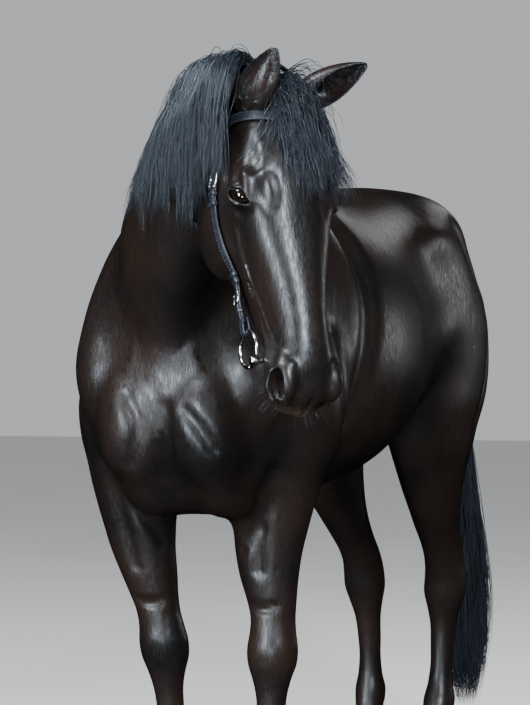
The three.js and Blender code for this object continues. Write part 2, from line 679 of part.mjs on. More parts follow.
function headFrame(x, tilt) {
  const direction = (a) => vec(a).transformDirection(headMatrix);
  const depth = Math.min(HEAD.at(x).widest, -50) - 25;
  return {
    x,
    mid: fromHead([x, 0, depth]),
    left: direction([0, 1, 0]),
    up: direction([-Math.sin(tilt), 0, Math.cos(tilt)]),
    forward: direction([Math.cos(tilt), 0, Math.sin(tilt)]),
  };
}

function headRings(grow = 0) {
  const tip = headFrames[headFrames.length - 1];
  const lean = (degrees) => ringOf(tip, HEAD_RAYS, headRegion, THREE.MathUtils.degToRad(degrees), grow);
  const face = headFrames.map((frame) => ringOf(frame, HEAD_RAYS, headRegion, 0, grow));
  return [...face, lean(22), lean(44), lean(66)];
}

function headSolid(grow = 0) {
  const tip = headFrames[headFrames.length - 1];
  const reach = reachOut(tip.mid, tip.forward, headRegion) + grow;
  const end = tip.mid.clone().addScaledVector(tip.forward, reach);
  return ringSolid(headRings(grow), undefined, end);
}

function eyeGeometry(side, radius) {
  const middle = fromHead([EYE.centre[0], side * EYE.centre[1], EYE.centre[2]]);
  return new THREE.SphereGeometry(radius, 10, 7).applyMatrix4(headMatrix.clone().setPosition(middle));
}

// The hollow of a nostril: an ellipsoid that slants down and inwards
function nostrilGeometry(side) {
  const place = (a) => fromHead([a[0], a[1] * side, a[2]]);
  const along = place(NOSTRIL.end).sub(place(NOSTRIL.start)).normalize();
  const out = left.clone().multiplyScalar(side).addScaledVector(along, -side * left.dot(along)).normalize();
  const turn = new THREE.Matrix4().makeBasis(along, out, along.clone().cross(out));
  turn.scale(vec(NOSTRIL.radii)).setPosition(place(NOSTRIL.centre));
  return new THREE.SphereGeometry(1, 10, 7).applyMatrix4(turn);
}

function makeHead() {
  let head = headSolid().subtract(beyond(headBack, -GAP)).subtract(beyond(jawUnder, -GAP));
  for (const side of [1, -1]) {
    head = head.subtract(solidOf(eyeGeometry(side, EYE.radius + GAP)));
    head = head.subtract(solidOf(nostrilGeometry(side)));
  }
  return head.subtract(solidOf(mouthpiece(BIT.bar + GAP)));
}

// A pinna: a leaf rolled around its axis, open along one side, solid at its root and closed at its tip
const EARS = {
  ear_left: { root: [14, 66, -8], axis: [-0.026, 0.876, 0.482], opening: [0.55, 0.3, -0.78] },
  ear_right: { root: [32, -60, -8], axis: [-0.62, 0.12, 0.775], opening: [0.8, 0.35, 0.5] },
};

// Radius of the pinna along its length, 0 at the root and 1 at the tip
function earRadius(t) {
  return EAR.width * Math.sin(Math.PI * (0.22 + 0.78 * t) ** 0.9) ** 0.75 + 3.5;
}

function earMiddle({ root, axis }, t, open) {
  const along = vec(axis).normalize();
  return fromHead(root).addScaledVector(along, EAR.length * (t - 0.12)).addScaledVector(open, 14 * t * t);
}

function earFrame({ axis, opening }) {
  const along = vec(axis).normalize();
  const open = vec(opening);
  open.addScaledVector(along, -open.dot(along)).normalize();
  return { open, across: along.clone().cross(open) };
}

function makeEar(ear) {
  const rows = 5;
  const columns = 6;
  const { open, across } = earFrame(ear);
  const grid = (wall) => Array.from({ length: rows + 1 }, (_, i) => {
    const t = i / rows;
    const solidRoot = 1 - THREE.MathUtils.smoothstep(t, 0.05, 0.35);
    const radius = earRadius(t) - wall * (1 + 3 * solidRoot);
    const roll = THREE.MathUtils.degToRad(THREE.MathUtils.lerp(165, 95, t ** 0.6));
    return Array.from({ length: columns + 1 }, (_, j) => {
      const angle = roll * ((2 * j) / columns - 1);
      return earMiddle(ear, t, open).addScaledVector(open, -0.8 * radius * Math.cos(angle))
        .addScaledVector(across, radius * Math.sin(angle));
    });
  });
  const body = shellSolid(grid(EAR.wall), grid(0));
  return body.subtract(headSolid(GAP)).subtract(crownpiece(GAP)).subtract(browband(GAP));
}

// The room that an ear takes, without its hollow
function earRoom(ear) {
  const count = 8;
  const { open, across } = earFrame(ear);
  const rings = [0, 0.25, 0.5, 0.75, 1].map((t) => Array.from({ length: count }, (_, j) => {
    const angle = (j / count) * 2 * Math.PI;
    const radius = (earRadius(t) + 1) / Math.cos(Math.PI / count);
    return earMiddle(ear, t, open).addScaledVector(open, radius * Math.cos(angle))
      .addScaledVector(across, radius * Math.sin(angle));
  }));
  return ringSolid(rings);
}

// ---- legs and hooves ----------------------------------------------------------------------------
function coronetPlane(name, offset) {
  const hoof = HOOVES[name.slice(0, 4)];
  const shift = legShift(name, 60).x;
  const toe = new THREE.Vector3(hoof.coronet.toe + shift, 0, CORONET.toe + offset);
  const heel = new THREE.Vector3(hoof.coronet.heel + shift, 0, CORONET.heel + offset);
  return new THREE.Plane().setFromCoplanarPoints(heel, toe, heel.clone().add(new THREE.Vector3(0, 1, 0)));
}

// Outline of a hoof at its crown and on the ground: x of toe and heel, half width
const HOOVES = {
  fore: {
    coronet: { toe: 562, heel: 452, half: 60 },
    sole: { toe: 628, heel: 476, half: 68 },
    middle: 130,
  },
  hind: {
    coronet: { toe: -698, heel: -800, half: 58 },
    sole: { toe: -632, heel: -775, half: 63 },
    middle: 125,
  },
};

function makeHoof(name) {
  const count = 14;
  const { coronet, sole, middle } = HOOVES[name.slice(0, 4)];
  const shift = legShift(name, 60);
  const centre = STANCE[name].side * middle + shift.y;
  const crown = (share) => THREE.MathUtils.lerp(CORONET.heel, CORONET.toe, share);
  const ring = (height) => Array.from({ length: count }, (_, i) => {
    const angle = ((i + 0.5) / count) * 2 * Math.PI;
    const share = 0.5 + 0.5 * Math.sign(Math.cos(angle)) * Math.abs(Math.cos(angle)) ** 0.8;
    const toe = THREE.MathUtils.lerp(sole.toe, coronet.toe, height);
    const heel = THREE.MathUtils.lerp(sole.heel, coronet.heel, height);
    const half = THREE.MathUtils.lerp(sole.half, coronet.half, height);
    const x = THREE.MathUtils.lerp(heel, toe, share) + shift.x;
    return new THREE.Vector3(x, centre + half * Math.sin(angle), height * crown(share));
  });
  return ringSolid([ring(0), ring(0.5), ring(1)]);
}

function makeLeg(name) {
  const fore = name.startsWith("fore");
  const rows = fore ? FORELEG : HINDLEG;
  const side = STANCE[name].side;
  const top = fore ? FORELEG_TOP : HINDLEG_TOP;
  const levels = fore ? 18 : 21;
  const bottom = 44;
  const region = (p) => Math.max(body(p), 4 - side * p.y);
  const rings = Array.from({ length: levels + 1 }, (_, i) => {
    const z = THREE.MathUtils.lerp(bottom, top + 36, i / levels);
    const s = rows.at(z);
    const shift = legShift(name, z);
    const frame = {
      mid: new THREE.Vector3((s.front + s.back) / 2 + shift.x, side * s.middle + shift.y, z),
      left: new THREE.Vector3(1, 0, 0),
      up: new THREE.Vector3(0, 1, 0),
      forward: new THREE.Vector3(0, 0, 1),
    };
    return ringOf(frame, 12, region);
  });
  const coronet = coronetPlane(name, GAP);
  if (coronet.normal.z > 0) coronet.negate();
  return ringSolid(rings)
    .subtract(beyond(coronet, 0))
    .subtract(boxSolid([-1500, -600, top - GAP], [1500, 600, 2000]));
}

// ---- mane, forelock and tail --------------------------------------------------------------------
// A pad of hair over the skin. For each frame `rowAt` gives the angles it spans, from the frame's left
// over the top, how far it lies off the skin and how thick it is there.
function hairPad(frames, columns, region, rowAt) {
  const inner = [];
  const outer = [];
  frames.forEach((frame, i) => {
    const { from, to, lift, thick } = rowAt(i / (frames.length - 1));
    const side = reachOut(frame.mid, frame.left.clone().negate(), region) + lift + thick(0.9);
    const row = Array.from({ length: columns }, (_, j) => {
      const share = j / (columns - 1);
      const angle = THREE.MathUtils.degToRad(THREE.MathUtils.lerp(from, to, share));
      const direction = frame.left.clone().multiplyScalar(Math.cos(angle))
        .addScaledVector(frame.up, Math.sin(angle));
      const skin = reachOut(frame.mid, direction, region) + lift;
      // past the middle of the neck the hair falls straight down
      const hangs = angle > Math.PI ? side / Math.abs(Math.cos(angle)) : 0;
      return [skin, Math.max(skin + thick(share), hangs)].map((radius) => frame.mid.clone()
        .addScaledVector(direction, radius));
    });
    inner.push(row.map(([near]) => near));
    outer.push(row.map(([, far]) => far));
  });
  return shellSolid(inner, outer);
}

// The mane lies on the right of the neck: it starts just left of the crest and hangs past mid-neck
function makeMane() {
  const frames = neckRingFrames.slice(4);
  const pad = hairPad(frames, 8, neckRegion, (row) => ({
    from: THREE.MathUtils.lerp(80, 68, row),
    to: THREE.MathUtils.lerp(158, 226, THREE.MathUtils.smoothstep(row, 0, 0.5)),
    lift: HAIR_LIFT,
    thick: (share) => 5 + THREE.MathUtils.lerp(8, 26, THREE.MathUtils.smoothstep(row, 0, 0.6))
      * Math.sin(Math.PI * Math.min(0.15 + share, 0.92)),
  }));
  return pad.subtract(headZone()).subtract(beyond(neckBase.clone().negate(), -GAP)).subtract(neckSolid(GAP))
    .subtract(earRoom(EARS.ear_right)).subtract(earRoom(EARS.ear_left)).subtract(crownpiece(GAP));
}

// The forelock springs from the poll, between the ears, and ends in a point above the nose
function makeForelock() {
  const top = -14;
  const bottom = 226;
  const rows = 8;
  const frames = Array.from({ length: rows }, (_, i) => {
    const x = THREE.MathUtils.lerp(top, bottom, i / (rows - 1));
    return headFrame(x, headTilt(x));
  });
  const overStraps = STRAP.lift + STRAP.thick + 3;
  const pad = hairPad(frames, 7, headRegion, (row) => ({
    from: THREE.MathUtils.lerp(26, 56, row ** 2.5),
    to: THREE.MathUtils.lerp(136, 92, row ** 2),
    lift: THREE.MathUtils.lerp(overStraps, HAIR_LIFT, THREE.MathUtils.smoothstep(row, 0.5, 0.65)),
    thick: (share) =>
      3 + THREE.MathUtils.lerp(40, 5, row ** 0.8) * Math.sin(Math.PI * (0.12 + 0.8 * share)) ** 0.7,
  }));
  return pad.subtract(beyond(headBack, -GAP)).subtract(headSolid(GAP)).subtract(crownpiece(GAP))
    .subtract(browband(GAP)).subtract(earRoom(EARS.ear_left)).subtract(earRoom(EARS.ear_right));
}

function makeTail() {
  const path = new THREE.CatmullRomCurve3(TAIL.map((row) => vec(row.at)));
  const rings = TAIL.map((row, i) => {
    const forward = path.getTangent(i / (TAIL.length - 1));
    const left = new THREE.Vector3(0, 1, 0).addScaledVector(forward, -forward.y).normalize();
    const back = forward.clone().cross(left);
    const count = 8;
    return Array.from({ length: count }, (_, j) => {
      const angle = (j / count) * 2 * Math.PI;
      return vec(row.at).addScaledVector(left, row.wide * Math.cos(angle))
        .addScaledVector(back, row.deep * Math.sin(angle));
    });
  });
  return ringSolid(rings).subtract(makeTrunk(GAP));
}

// ---- bridle -------------------------------------------------------------------------------------
function surfaceNormal(p) {
  const e = 1.5;
  const slope = (dx, dy, dz) => body(p.clone().add(new THREE.Vector3(dx, dy, dz)))
    - body(p.clone().sub(new THREE.Vector3(dx, dy, dz)));
  return new THREE.Vector3(slope(e, 0, 0), slope(0, e, 0), slope(0, 0, e)).normalize();
}

// Slides a point near the skin onto it; a point further off stays where it hangs
const HANGS = 12;
function settle(p) {
  if (body(p) > HANGS) return p;
  for (let i = 0; i < 12; i += 1) p.addScaledVector(surfaceNormal(p), -body(p) * 0.8);
  return p;
}

// A flat strap through the given places of the head's frame
function strap(places, { wide = STRAP.wide, grow = 0 } = {}) {
  const knots = places.map((place) => settle(fromHead(place)));
  const path = new THREE.CatmullRomCurve3(knots, false, "centripetal");
  const count = (places.length - 1) * 2;
  const core = fromHead([150, 0, -150]);
  const rings = Array.from({ length: count + 1 }, (_, i) => {
    const p = settle(path.getPoint(i / count));
    const tangent = path.getTangent(i / count);
    const normal = body(p) > HANGS ? p.clone().sub(core).normalize() : surfaceNormal(p);
    normal.addScaledVector(tangent, -normal.dot(tangent)).normalize();
    const across = tangent.clone().cross(normal);
    const corner = (w, h) => p.clone()
      .addScaledVector(across, w * (wide / 2 + grow))
      .addScaledVector(normal, h);
    const low = STRAP.lift - grow;
    const high = STRAP.lift + STRAP.thick + grow;
    return [corner(-1, low), corner(1, low), corner(1, high), corner(-1, high)];
  });
  return ringSolid(rings);
}

const mirror = (places) => places.map(([x, y, z]) => [x, -y, z]);
const overTheHead = (half, top) => [...half, top, ...mirror(half).reverse()];

function browband(grow = 0) {
  const half = [[54, 88, -66], [56, 78, -40], [66, 52, 0]];
  return strap(overTheHead(half, [76, 0, 16]), { grow });
}

function crownpiece(grow = 0) {
  const half = [[44, 91, -100], [18, 86, -80], [-12, 66, -50], [-16, 34, -22]];
  return strap(overTheHead(half, [-16, 0, -14]), { wide: 22, grow });
}

const CHEEK = [
  [52, 91, -106], [100, 88, -126], [142, 86, -140], [202, 88, -146],
  [262, 84, -150], [322, 72, -154], [380, 64, -154], [432, 61, -150],
];

function cheekpiece(side, grow = 0) {
  return strap(side > 0 ? CHEEK : mirror(CHEEK), { grow });
}

function throatlatch() {
  const half = [[62, 92, -124], [92, 90, -176], [120, 94, -230], [144, 72, -288], [168, 36, -320]];
  return strap(overTheHead(half, [178, 0, -328]), { wide: 15 });
}

// A buckle: a square frame that lies on its strap
function buckle(place, side) {
  const corners = (places) => places.map(([x, y]) => new THREE.Vector2(x, y));
  const outer = new THREE.Shape(corners([[-16, -15], [16, -15], [16, 15], [-16, 15]]));
  const inner = new THREE.Path(corners([[-11, -10], [-11, 10], [11, 10], [11, -10]]));
  outer.holes.push(inner);
  const geometry = new THREE.ExtrudeGeometry(outer, { depth: 4, bevelEnabled: false });
  const p = settle(fromHead([place[0], place[1] * side, place[2]]));
  const normal = surfaceNormal(p);
  const along = nose.clone().addScaledVector(normal, -nose.dot(normal)).normalize();
  const turn = new THREE.Matrix4().makeBasis(along, normal.clone().cross(along), normal);
  turn.setPosition(p.addScaledVector(normal, STRAP.lift + STRAP.thick + GAP * 2));
  return solidOf(geometry.applyMatrix4(turn));
}

function mouthpiece(radius) {
  const [x, y, z] = [BIT.centre[0] + 28, BIT.centre[1], BIT.centre[2] + 16];
  const geometry = new THREE.CylinderGeometry(radius, radius, 2 * y + 10, 8);
  return geometry.applyMatrix4(headMatrix.clone().setPosition(fromHead([x, 0, z])));
}

function bitRing(side, wire) {
  const [x, y, z] = BIT.centre;
  const geometry = new THREE.TorusGeometry(BIT.ring, wire, 5, 12).rotateX(Math.PI / 2);
  return solidOf(geometry.applyMatrix4(headMatrix.clone().setPosition(fromHead([x, side * y, z]))));
}

function makeBit() {
  return solidOf(mouthpiece(BIT.bar)).add(bitRing(1, BIT.wire)).add(bitRing(-1, BIT.wire));
}

// ---- the scene graph ----------------------------------------------------------------------------
const horse = new THREE.Group();

function addPiece(name, solid, finish) {
  const [color, roughness, metalness] = COLOURS[finish];
  const material = new THREE.MeshStandardMaterial({ color, roughness, metalness });
  const mesh = new THREE.Mesh(geometryOf(solid), material);
  mesh.name = name;
  horse.add(mesh);
}

const headClearance = headSolid(GAP);
const neckClearance = neckSolid(GAP);
addPiece("trunk", makeTrunk(), "coat");
addPiece("neck", makeNeck(), "coat");
addPiece("head", makeHead(), "coat");
for (const [name, ear] of Object.entries(EARS)) {
  addPiece(name, makeEar(ear).subtract(neckClearance), "coat");
}
for (const [name, side] of [["eye_left", 1], ["eye_right", -1]]) {
  addPiece(name, solidOf(eyeGeometry(side, EYE.radius)), "eye");
}
for (const name of Object.keys(STANCE)) {
  addPiece(name, makeLeg(name), "coat");
  addPiece(`hoof_${name.replace("leg", "")}`, makeHoof(name), "hoof");
}
addPiece("mane", makeMane(), "hair");
addPiece("forelock", makeForelock(), "hair");
addPiece("tail", makeTail(), "hair");

const clear = (solid) => solid.subtract(headClearance).subtract(neckClearance);
addPiece("bridle_crownpiece", clear(crownpiece()), "leather");
addPiece("bridle_browband", clear(browband()).subtract(crownpiece(GAP)), "leather");
const throat = throatlatch()
  .subtract(crownpiece(GAP))
  .subtract(cheekpiece(1, GAP))
  .subtract(cheekpiece(-1, GAP));
addPiece("bridle_throatlatch", clear(throat), "leather");
for (const [name, side] of [["left", 1], ["right", -1]]) {
  const ring = bitRing(side, BIT.wire + GAP);
  const cheek = clear(cheekpiece(side)).subtract(ring).subtract(crownpiece(GAP));
  addPiece(`bridle_cheekpiece_${name}`, cheek, "leather");
  addPiece(`bridle_buckle_${name}`, buckle([142, 86, -140], side), "steel");
}
addPiece("bridle_bit", makeBit(), "steel");

// The origin is the middle of the footprint of the whole horse, on the ground
const box = new THREE.Box3().setFromObject(horse);
horse.position.set(-(box.min.x + box.max.x) / 2, -(box.min.y + box.max.y) / 2, -box.min.z);

export default horse;
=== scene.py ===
"""Looks of a still, life-size black riding horse in a snaffle bridle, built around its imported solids.

The body is one field in millimetres, in the horse's own frame: the sections and swellings of the solids,
with the finer forms of face, muscles, tendons and veins added. The skin is that field's zero surface, and
all hair, straps and lids are placed by it.
"""
import json
import math

import bmesh
import bpy
import numpy as np
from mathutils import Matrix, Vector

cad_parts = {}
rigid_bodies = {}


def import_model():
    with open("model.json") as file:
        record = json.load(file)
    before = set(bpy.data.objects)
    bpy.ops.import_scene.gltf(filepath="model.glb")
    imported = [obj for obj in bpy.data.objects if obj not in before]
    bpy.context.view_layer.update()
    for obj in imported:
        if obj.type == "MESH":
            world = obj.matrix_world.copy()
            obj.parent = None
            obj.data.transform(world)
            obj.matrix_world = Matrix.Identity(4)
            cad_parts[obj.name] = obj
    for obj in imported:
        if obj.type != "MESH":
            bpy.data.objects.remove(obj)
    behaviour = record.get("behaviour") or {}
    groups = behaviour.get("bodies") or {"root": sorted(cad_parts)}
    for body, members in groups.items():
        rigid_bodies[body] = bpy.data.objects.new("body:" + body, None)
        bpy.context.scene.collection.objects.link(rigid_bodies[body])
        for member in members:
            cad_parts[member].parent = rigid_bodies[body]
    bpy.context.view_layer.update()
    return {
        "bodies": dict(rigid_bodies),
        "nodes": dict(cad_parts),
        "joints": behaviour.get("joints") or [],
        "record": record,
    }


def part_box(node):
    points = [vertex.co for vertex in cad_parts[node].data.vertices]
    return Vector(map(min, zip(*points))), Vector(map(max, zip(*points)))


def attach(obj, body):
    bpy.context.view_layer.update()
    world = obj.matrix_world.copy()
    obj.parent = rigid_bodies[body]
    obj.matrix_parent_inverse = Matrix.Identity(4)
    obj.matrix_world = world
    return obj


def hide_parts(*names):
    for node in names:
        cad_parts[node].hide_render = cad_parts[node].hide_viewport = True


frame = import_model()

import openvdb
from mathutils import Vector

MM = 0.001
rng = np.random.default_rng(11)

# ---- measures, in millimetres --------------------------------------------------------------------
COAT_DEPTH = 1.5                    # how far the skin lies inside the solids
GRID, FINE_GRID = 11.5, 4.5         # spacing of the skin's mesh on the body and on the head
HEAD_POLL = (1005.0, 380.0, 1626.0)
HEAD_NOSE = (0.213, 0.243, -0.946)
HEAD_LEFT = (-0.776, 0.631, 0.025)
EYE = dict(centre=(212.0, 85.0, -40.0), radius=23.0, long=1.2,
           out=(0.30, 0.80, 0.45), fissure=(0.64, -0.60, 0.47))
STRAP = dict(thick=4.0, lift=2.5)
STRAP_TOP = STRAP["lift"] + STRAP["thick"]
BIT = dict(centre=(478.0, 66.0, -146.0), ring=34.0, wire=4.0)
STANCE = {  # forward, outward and the forearm's lean to the left
    "foreleg_left": (20.0, 4.0, -20.0),
    "foreleg_right": (-90.0, -14.0, -30.0),
    "hindleg_left": (115.0, -15.0, 0.0),
    "hindleg_right": (-55.0, 0.0, 0.0),
}

TRUNK_ROWS = [  # x, top, bottom, half width, widest level, roundness above and below
    (-852, 1330, 1190, 50, 1262, 2.0, 2.0), (-830, 1378, 1105, 120, 1262, 2.1, 2.0),
    (-780, 1436, 1025, 186, 1265, 2.2, 2.0), (-690, 1498, 968, 232, 1270, 2.3, 2.0),
    (-580, 1544, 945, 256, 1275, 2.4, 2.1), (-440, 1568, 942, 266, 1270, 2.4, 2.2),
    (-320, 1560, 930, 264, 1235, 2.2, 2.2), (-180, 1542, 882, 280, 1180, 2.1, 2.2),
    (-40, 1530, 842, 304, 1140, 2.0, 2.2), (90, 1532, 820, 312, 1125, 1.95, 2.2),
    (200, 1556, 808, 302, 1125, 1.8, 2.2), (300, 1590, 800, 284, 1135, 1.6, 2.2),
    (370, 1602, 794, 270, 1140, 1.5, 2.2), (450, 1588, 784, 260, 1130, 1.5, 2.3),
    (540, 1530, 786, 250, 1110, 1.7, 2.3), (620, 1420, 818, 226, 1080, 1.9, 2.3),
    (672, 1290, 880, 185, 1060, 2.0, 2.2), (716, 1160, 960, 90, 1060, 2.0, 2.0),
]
FORELEG_ROWS = [  # height, front, back, half width outwards and inwards, middle, rear taper
    (1150, 500, 460, 20, 20, 160, 0.1), (1110, 560, 390, 70, 60, 162, 0.1),
    (1040, 600, 344, 98, 86, 165, 0.1), (960, 592, 333, 106, 92, 165, 0.15),
    (900, 568, 336, 104, 90, 163, 0.2), (850, 554, 348, 102, 88, 160, 0.2),
    (800, 543, 364, 95, 84, 156, 0.2), (750, 533, 378, 86, 80, 152, 0.2),
    (700, 525, 389, 76, 74, 149, 0.2), (650, 518, 397, 67, 66, 146, 0.2),
    (600, 512, 403, 58, 54, 144, 0.2), (560, 509, 406, 53, 48, 142, 0.2),
    (530, 511, 404, 54, 52, 141, 0.25), (500, 515, 398, 58, 57, 140, 0.3),
    (465, 511, 401, 56, 55, 139, 0.3), (435, 502, 414, 46, 45, 138, 0.25),
    (400, 494, 421, 37, 36, 137, 0.25), (350, 490, 421, 32, 32, 136, 0.25),
    (300, 490, 418, 31, 31, 135, 0.25), (265, 496, 412, 36, 36, 134, 0.2),
    (230, 505, 402, 43, 43, 133, 0.2), (205, 509, 406, 41, 41, 132, 0.2),
    (175, 518, 426, 36, 36, 131, 0.1), (145, 531, 443, 38, 38, 130, 0.1),
    (115, 549, 450, 50, 50, 130, 0.1), (95, 560, 452, 58, 58, 130, 0.1),
    (40, 592, 452, 62, 62, 130, 0.1),
]
HINDLEG_ROWS = [
    (1360, -600, -700, 30, 30, 140, 0.1), (1320, -520, -780, 80, 80, 140, 0.1),
    (1250, -450, -838, 112, 104, 140, 0.1), (1170, -405, -858, 122, 112, 141, 0.1),
    (1090, -372, -860, 124, 112, 144, 0.15), (1020, -342, -842, 119, 106, 147, 0.2),
    (960, -342, -816, 108, 96, 148, 0.25), (900, -372, -795, 98, 84, 148, 0.3),
    (850, -416, -784, 87, 74, 145, 0.35), (800, -468, -784, 77, 66, 141, 0.4),
    (750, -524, -794, 68, 59, 138, 0.45), (700, -583, -814, 60, 54, 135, 0.5),
    (655, -638, -844, 54, 50, 133, 0.5), (620, -678, -870, 52, 50, 131, 0.5),
    (590, -704, -882, 53, 52, 130, 0.5), (555, -722, -878, 57, 55, 129, 0.45),
    (520, -733, -864, 58, 56, 128, 0.4), (480, -748, -854, 48, 46, 127, 0.3),
    (440, -762, -850, 38, 37, 126, 0.3), (380, -772, -850, 33, 33, 125, 0.3),
    (320, -775, -848, 31, 31, 125, 0.25), (275, -771, -850, 35, 35, 125, 0.2),
    (235, -760, -860, 43, 43, 125, 0.2), (207, -754, -854, 41, 41, 125, 0.2),
    (176, -744, -832, 36, 36, 125, 0.1), (145, -730, -814, 38, 38, 125, 0.1),
    (115, -713, -804, 48, 48, 125, 0.1), (95, -702, -800, 56, 56, 125, 0.1),
    (40, -672, -800, 60, 60, 125, 0.1),
]
NECK_ROWS = [  # crest, underside, half width, roundness
    ((300, 0, 1500), (560, 0, 960), 215, 1.9), ((420, 0, 1580), (660, 0, 1050), 185, 1.9),
    ((525, 2, 1620), (722, 14, 1130), 145, 1.9), ((630, 30, 1655), (775, 48, 1205), 112, 1.9),
    ((735, 82, 1684), (818, 98, 1275), 98, 2.0), ((828, 150, 1700), (850, 152, 1345), 91, 2.0),
    ((903, 222, 1702), (881, 200, 1405), 85, 2.1), ((960, 292, 1690), (908, 236, 1450), 79, 2.1),
    ((1002, 345, 1652), (934, 267, 1464), 72, 2.1),
]
HEAD_ROWS = [  # place down the face, top, bottom, half width, widest level, roundness above and below
    (-25, -62, -140, 45, -95, 2.0, 2.0), (0, -26, -172, 68, -75, 2.0, 2.0),
    (40, 4, -204, 78, -62, 2.1, 2.0), (85, 17, -244, 82, -55, 2.2, 2.1),
    (125, 25, -272, 88, -52, 2.3, 2.2), (165, 29, -288, 95, -50, 2.4, 2.3),
    (205, 28, -294, 97, -50, 2.4, 2.3), (250, 22, -290, 91, -56, 2.4, 2.3),
    (300, 14, -268, 82, -62, 2.3, 2.2), (350, 8, -242, 71, -68, 2.3, 2.2),
    (400, 3, -217, 62, -76, 2.3, 2.2), (450, -2, -200, 57, -84, 2.3, 2.2),
    (495, -7, -190, 56, -88, 2.3, 2.2), (530, -12, -186, 59, -86, 2.3, 2.2),
    (562, -22, -180, 61, -86, 2.3, 2.2), (588, -38, -164, 55, -88, 2.2, 2.1),
    (606, -60, -144, 42, -94, 2.1, 2.0), (618, -86, -118, 16, -100, 2.0, 2.0),
]
CORONET = (97.0, 56.0)              # height of a hoof's crown in front and behind
HIDDEN_IN_HOOF = 6.0                # how far the skin goes into a hoof
HOOF_LEVEL = 60.0                   # height whose shift a whole hoof takes from its leg
HOOVES = {                          # x of toe and heel and half width, at the crown and on the ground; y
    "fore": ((562.0, 452.0, 60.0), (628.0, 476.0, 68.0), 130.0),
    "hind": ((-698.0, -800.0, 58.0), (-632.0, -775.0, 63.0), 125.0),
}
TAIL_ROWS = [  # middle, half width, half depth
    ((-828, 0, 1418), 30, 34), ((-872, 2, 1402), 40, 36), ((-915, 6, 1340), 52, 38),
    ((-940, 14, 1240), 62, 42), ((-955, 26, 1100), 70, 46), ((-965, 42, 950), 76, 50),
    ((-975, 58, 800), 80, 52), ((-985, 72, 650), 84, 54), ((-992, 84, 500), 84, 54),
    ((-994, 92, 370), 72, 46), ((-992, 98, 250), 46, 30), ((-988, 102, 180), 16, 12),
]


# ---- curves and vectors --------------------------------------------------------------------------
def unit(v):
    v = np.asarray(v, float)
    return v / np.linalg.norm(v, axis=-1, keepdims=True)


def through(places, values, x):
    """Smooth curve through knots, held flat past the ends."""
    places, values = np.asarray(places, float), np.asarray(values, float)
    slope = np.gradient(values, places)
    x = np.clip(x, places[0], places[-1])
    i = np.clip(np.searchsorted(places, x) - 1, 0, len(places) - 2)
    h = places[i + 1] - places[i]
    s = (x - places[i]) / h
    r = 1 - s
    return ((1 + 2 * s) * r * r * values[i] + s * r * r * h * slope[i]
            + s * s * (3 - 2 * s) * values[i + 1] + s * s * (s - 1) * h * slope[i + 1])


def table(names, rows):
    """Smooth named columns against the first one, sampled once; returns (columns, low, high)."""
    rows = np.array(sorted(rows), float)
    places = np.linspace(rows[0, 0], rows[-1, 0], 401)
    sampled = {name: through(rows[:, 0], rows[:, i + 1], places) for i, name in enumerate(names)}
    columns = {name: (lambda x, v=v: np.interp(x, places, v)) for name, v in sampled.items()}
    return columns, rows[0, 0], rows[-1, 0]


def smoothstep(x, low, high):
    t = np.clip((np.asarray(x, float) - low) / (high - low), 0, 1)
    return t * t * (3 - 2 * t)


def mix(a, b, t):
    return a + (b - a) * t


def curve(knots, rows, t):
    """Smooth curve through rows of places, one for each knot."""
    return np.stack([through(knots, column, t) for column in np.asarray(rows, float).T], -1)


def between(knots, rows, t):
    """Straight runs between rows of places."""
    return np.stack([np.interp(t, knots, column) for column in rows.T], -1)


def run_along(points):
    """How far along a line each of its points is."""
    return np.concatenate([[0], np.cumsum(np.linalg.norm(np.diff(points, axis=0), axis=1))])


def smooth_rows(a, rounds):
    """Evens out a row of places between its ends."""
    for _ in range(rounds):
        a = np.concatenate([a[:1], (a[:-2] + 2 * a[1:-1] + a[2:]) / 4, a[-1:]])
    return a


TRUNK = table(["top", "bottom", "half", "widest", "upper", "lower"], TRUNK_ROWS)
LEGS = {"fore": table(["front", "back", "outer", "inner", "middle", "taper"], FORELEG_ROWS),
        "hind": table(["front", "back", "outer", "inner", "middle", "taper"], HINDLEG_ROWS)}
HEAD = table(["top", "bottom", "half", "widest", "upper", "lower"], HEAD_ROWS)


# ---- the body's main masses, as distance-like fields ---------------------------------------------
def smooth_min(a, b, blend):
    h = np.clip(blend - np.abs(a - b), 0, None) / blend
    return np.minimum(a, b) - h ** 3 * blend / 6


def gauge(u, v, power):
    """1 on a superellipse's outline."""
    return (np.abs(u) ** power + np.abs(v) ** power) ** (1 / power)


def section_distance(radius, level, core, scale):
    return np.where(radius < 1, -core, (radius - radius / np.maximum(level, 1e-6)) * scale)


def barrel_distance(p, rows, narrow, scale, past):
    """Distance to a row of sections, each drawn in by the share `narrow` towards its lower edge."""
    x, y, z = p.T
    s, low, high = rows
    widest = s["widest"](x)
    up = z > widest
    height = np.where(up, s["top"](x) - widest, widest - s["bottom"](x))
    half = s["half"](x) * np.where(up, 1, 1 - narrow * np.clip((widest - z) / height, 0, 1) ** 1.5)
    level = gauge(y / half, (z - widest) / height, np.where(up, s["upper"](x), s["lower"](x)))
    d = section_distance(np.hypot(y, z - widest), level, np.minimum(half, height), scale)
    return d + past * np.clip(np.maximum(low - x, x - high), 0, None) ** 2


def trunk_distance(p):
    return barrel_distance(p, TRUNK, 0.0, 0.85, 0.5)


def side_of(name):
    return 1 if name.endswith("left") else -1


def leg_shift(name, z):
    """How far a leg's section is moved at height z, forward and to the left."""
    forward, out, lean = STANCE[name]
    top = 900 if name.startswith("fore") else 1050
    down = np.clip((top - z) / top, 0, 1) ** 1.3
    return forward * down, side_of(name) * out * down + lean * smoothstep(z, 500, 730)


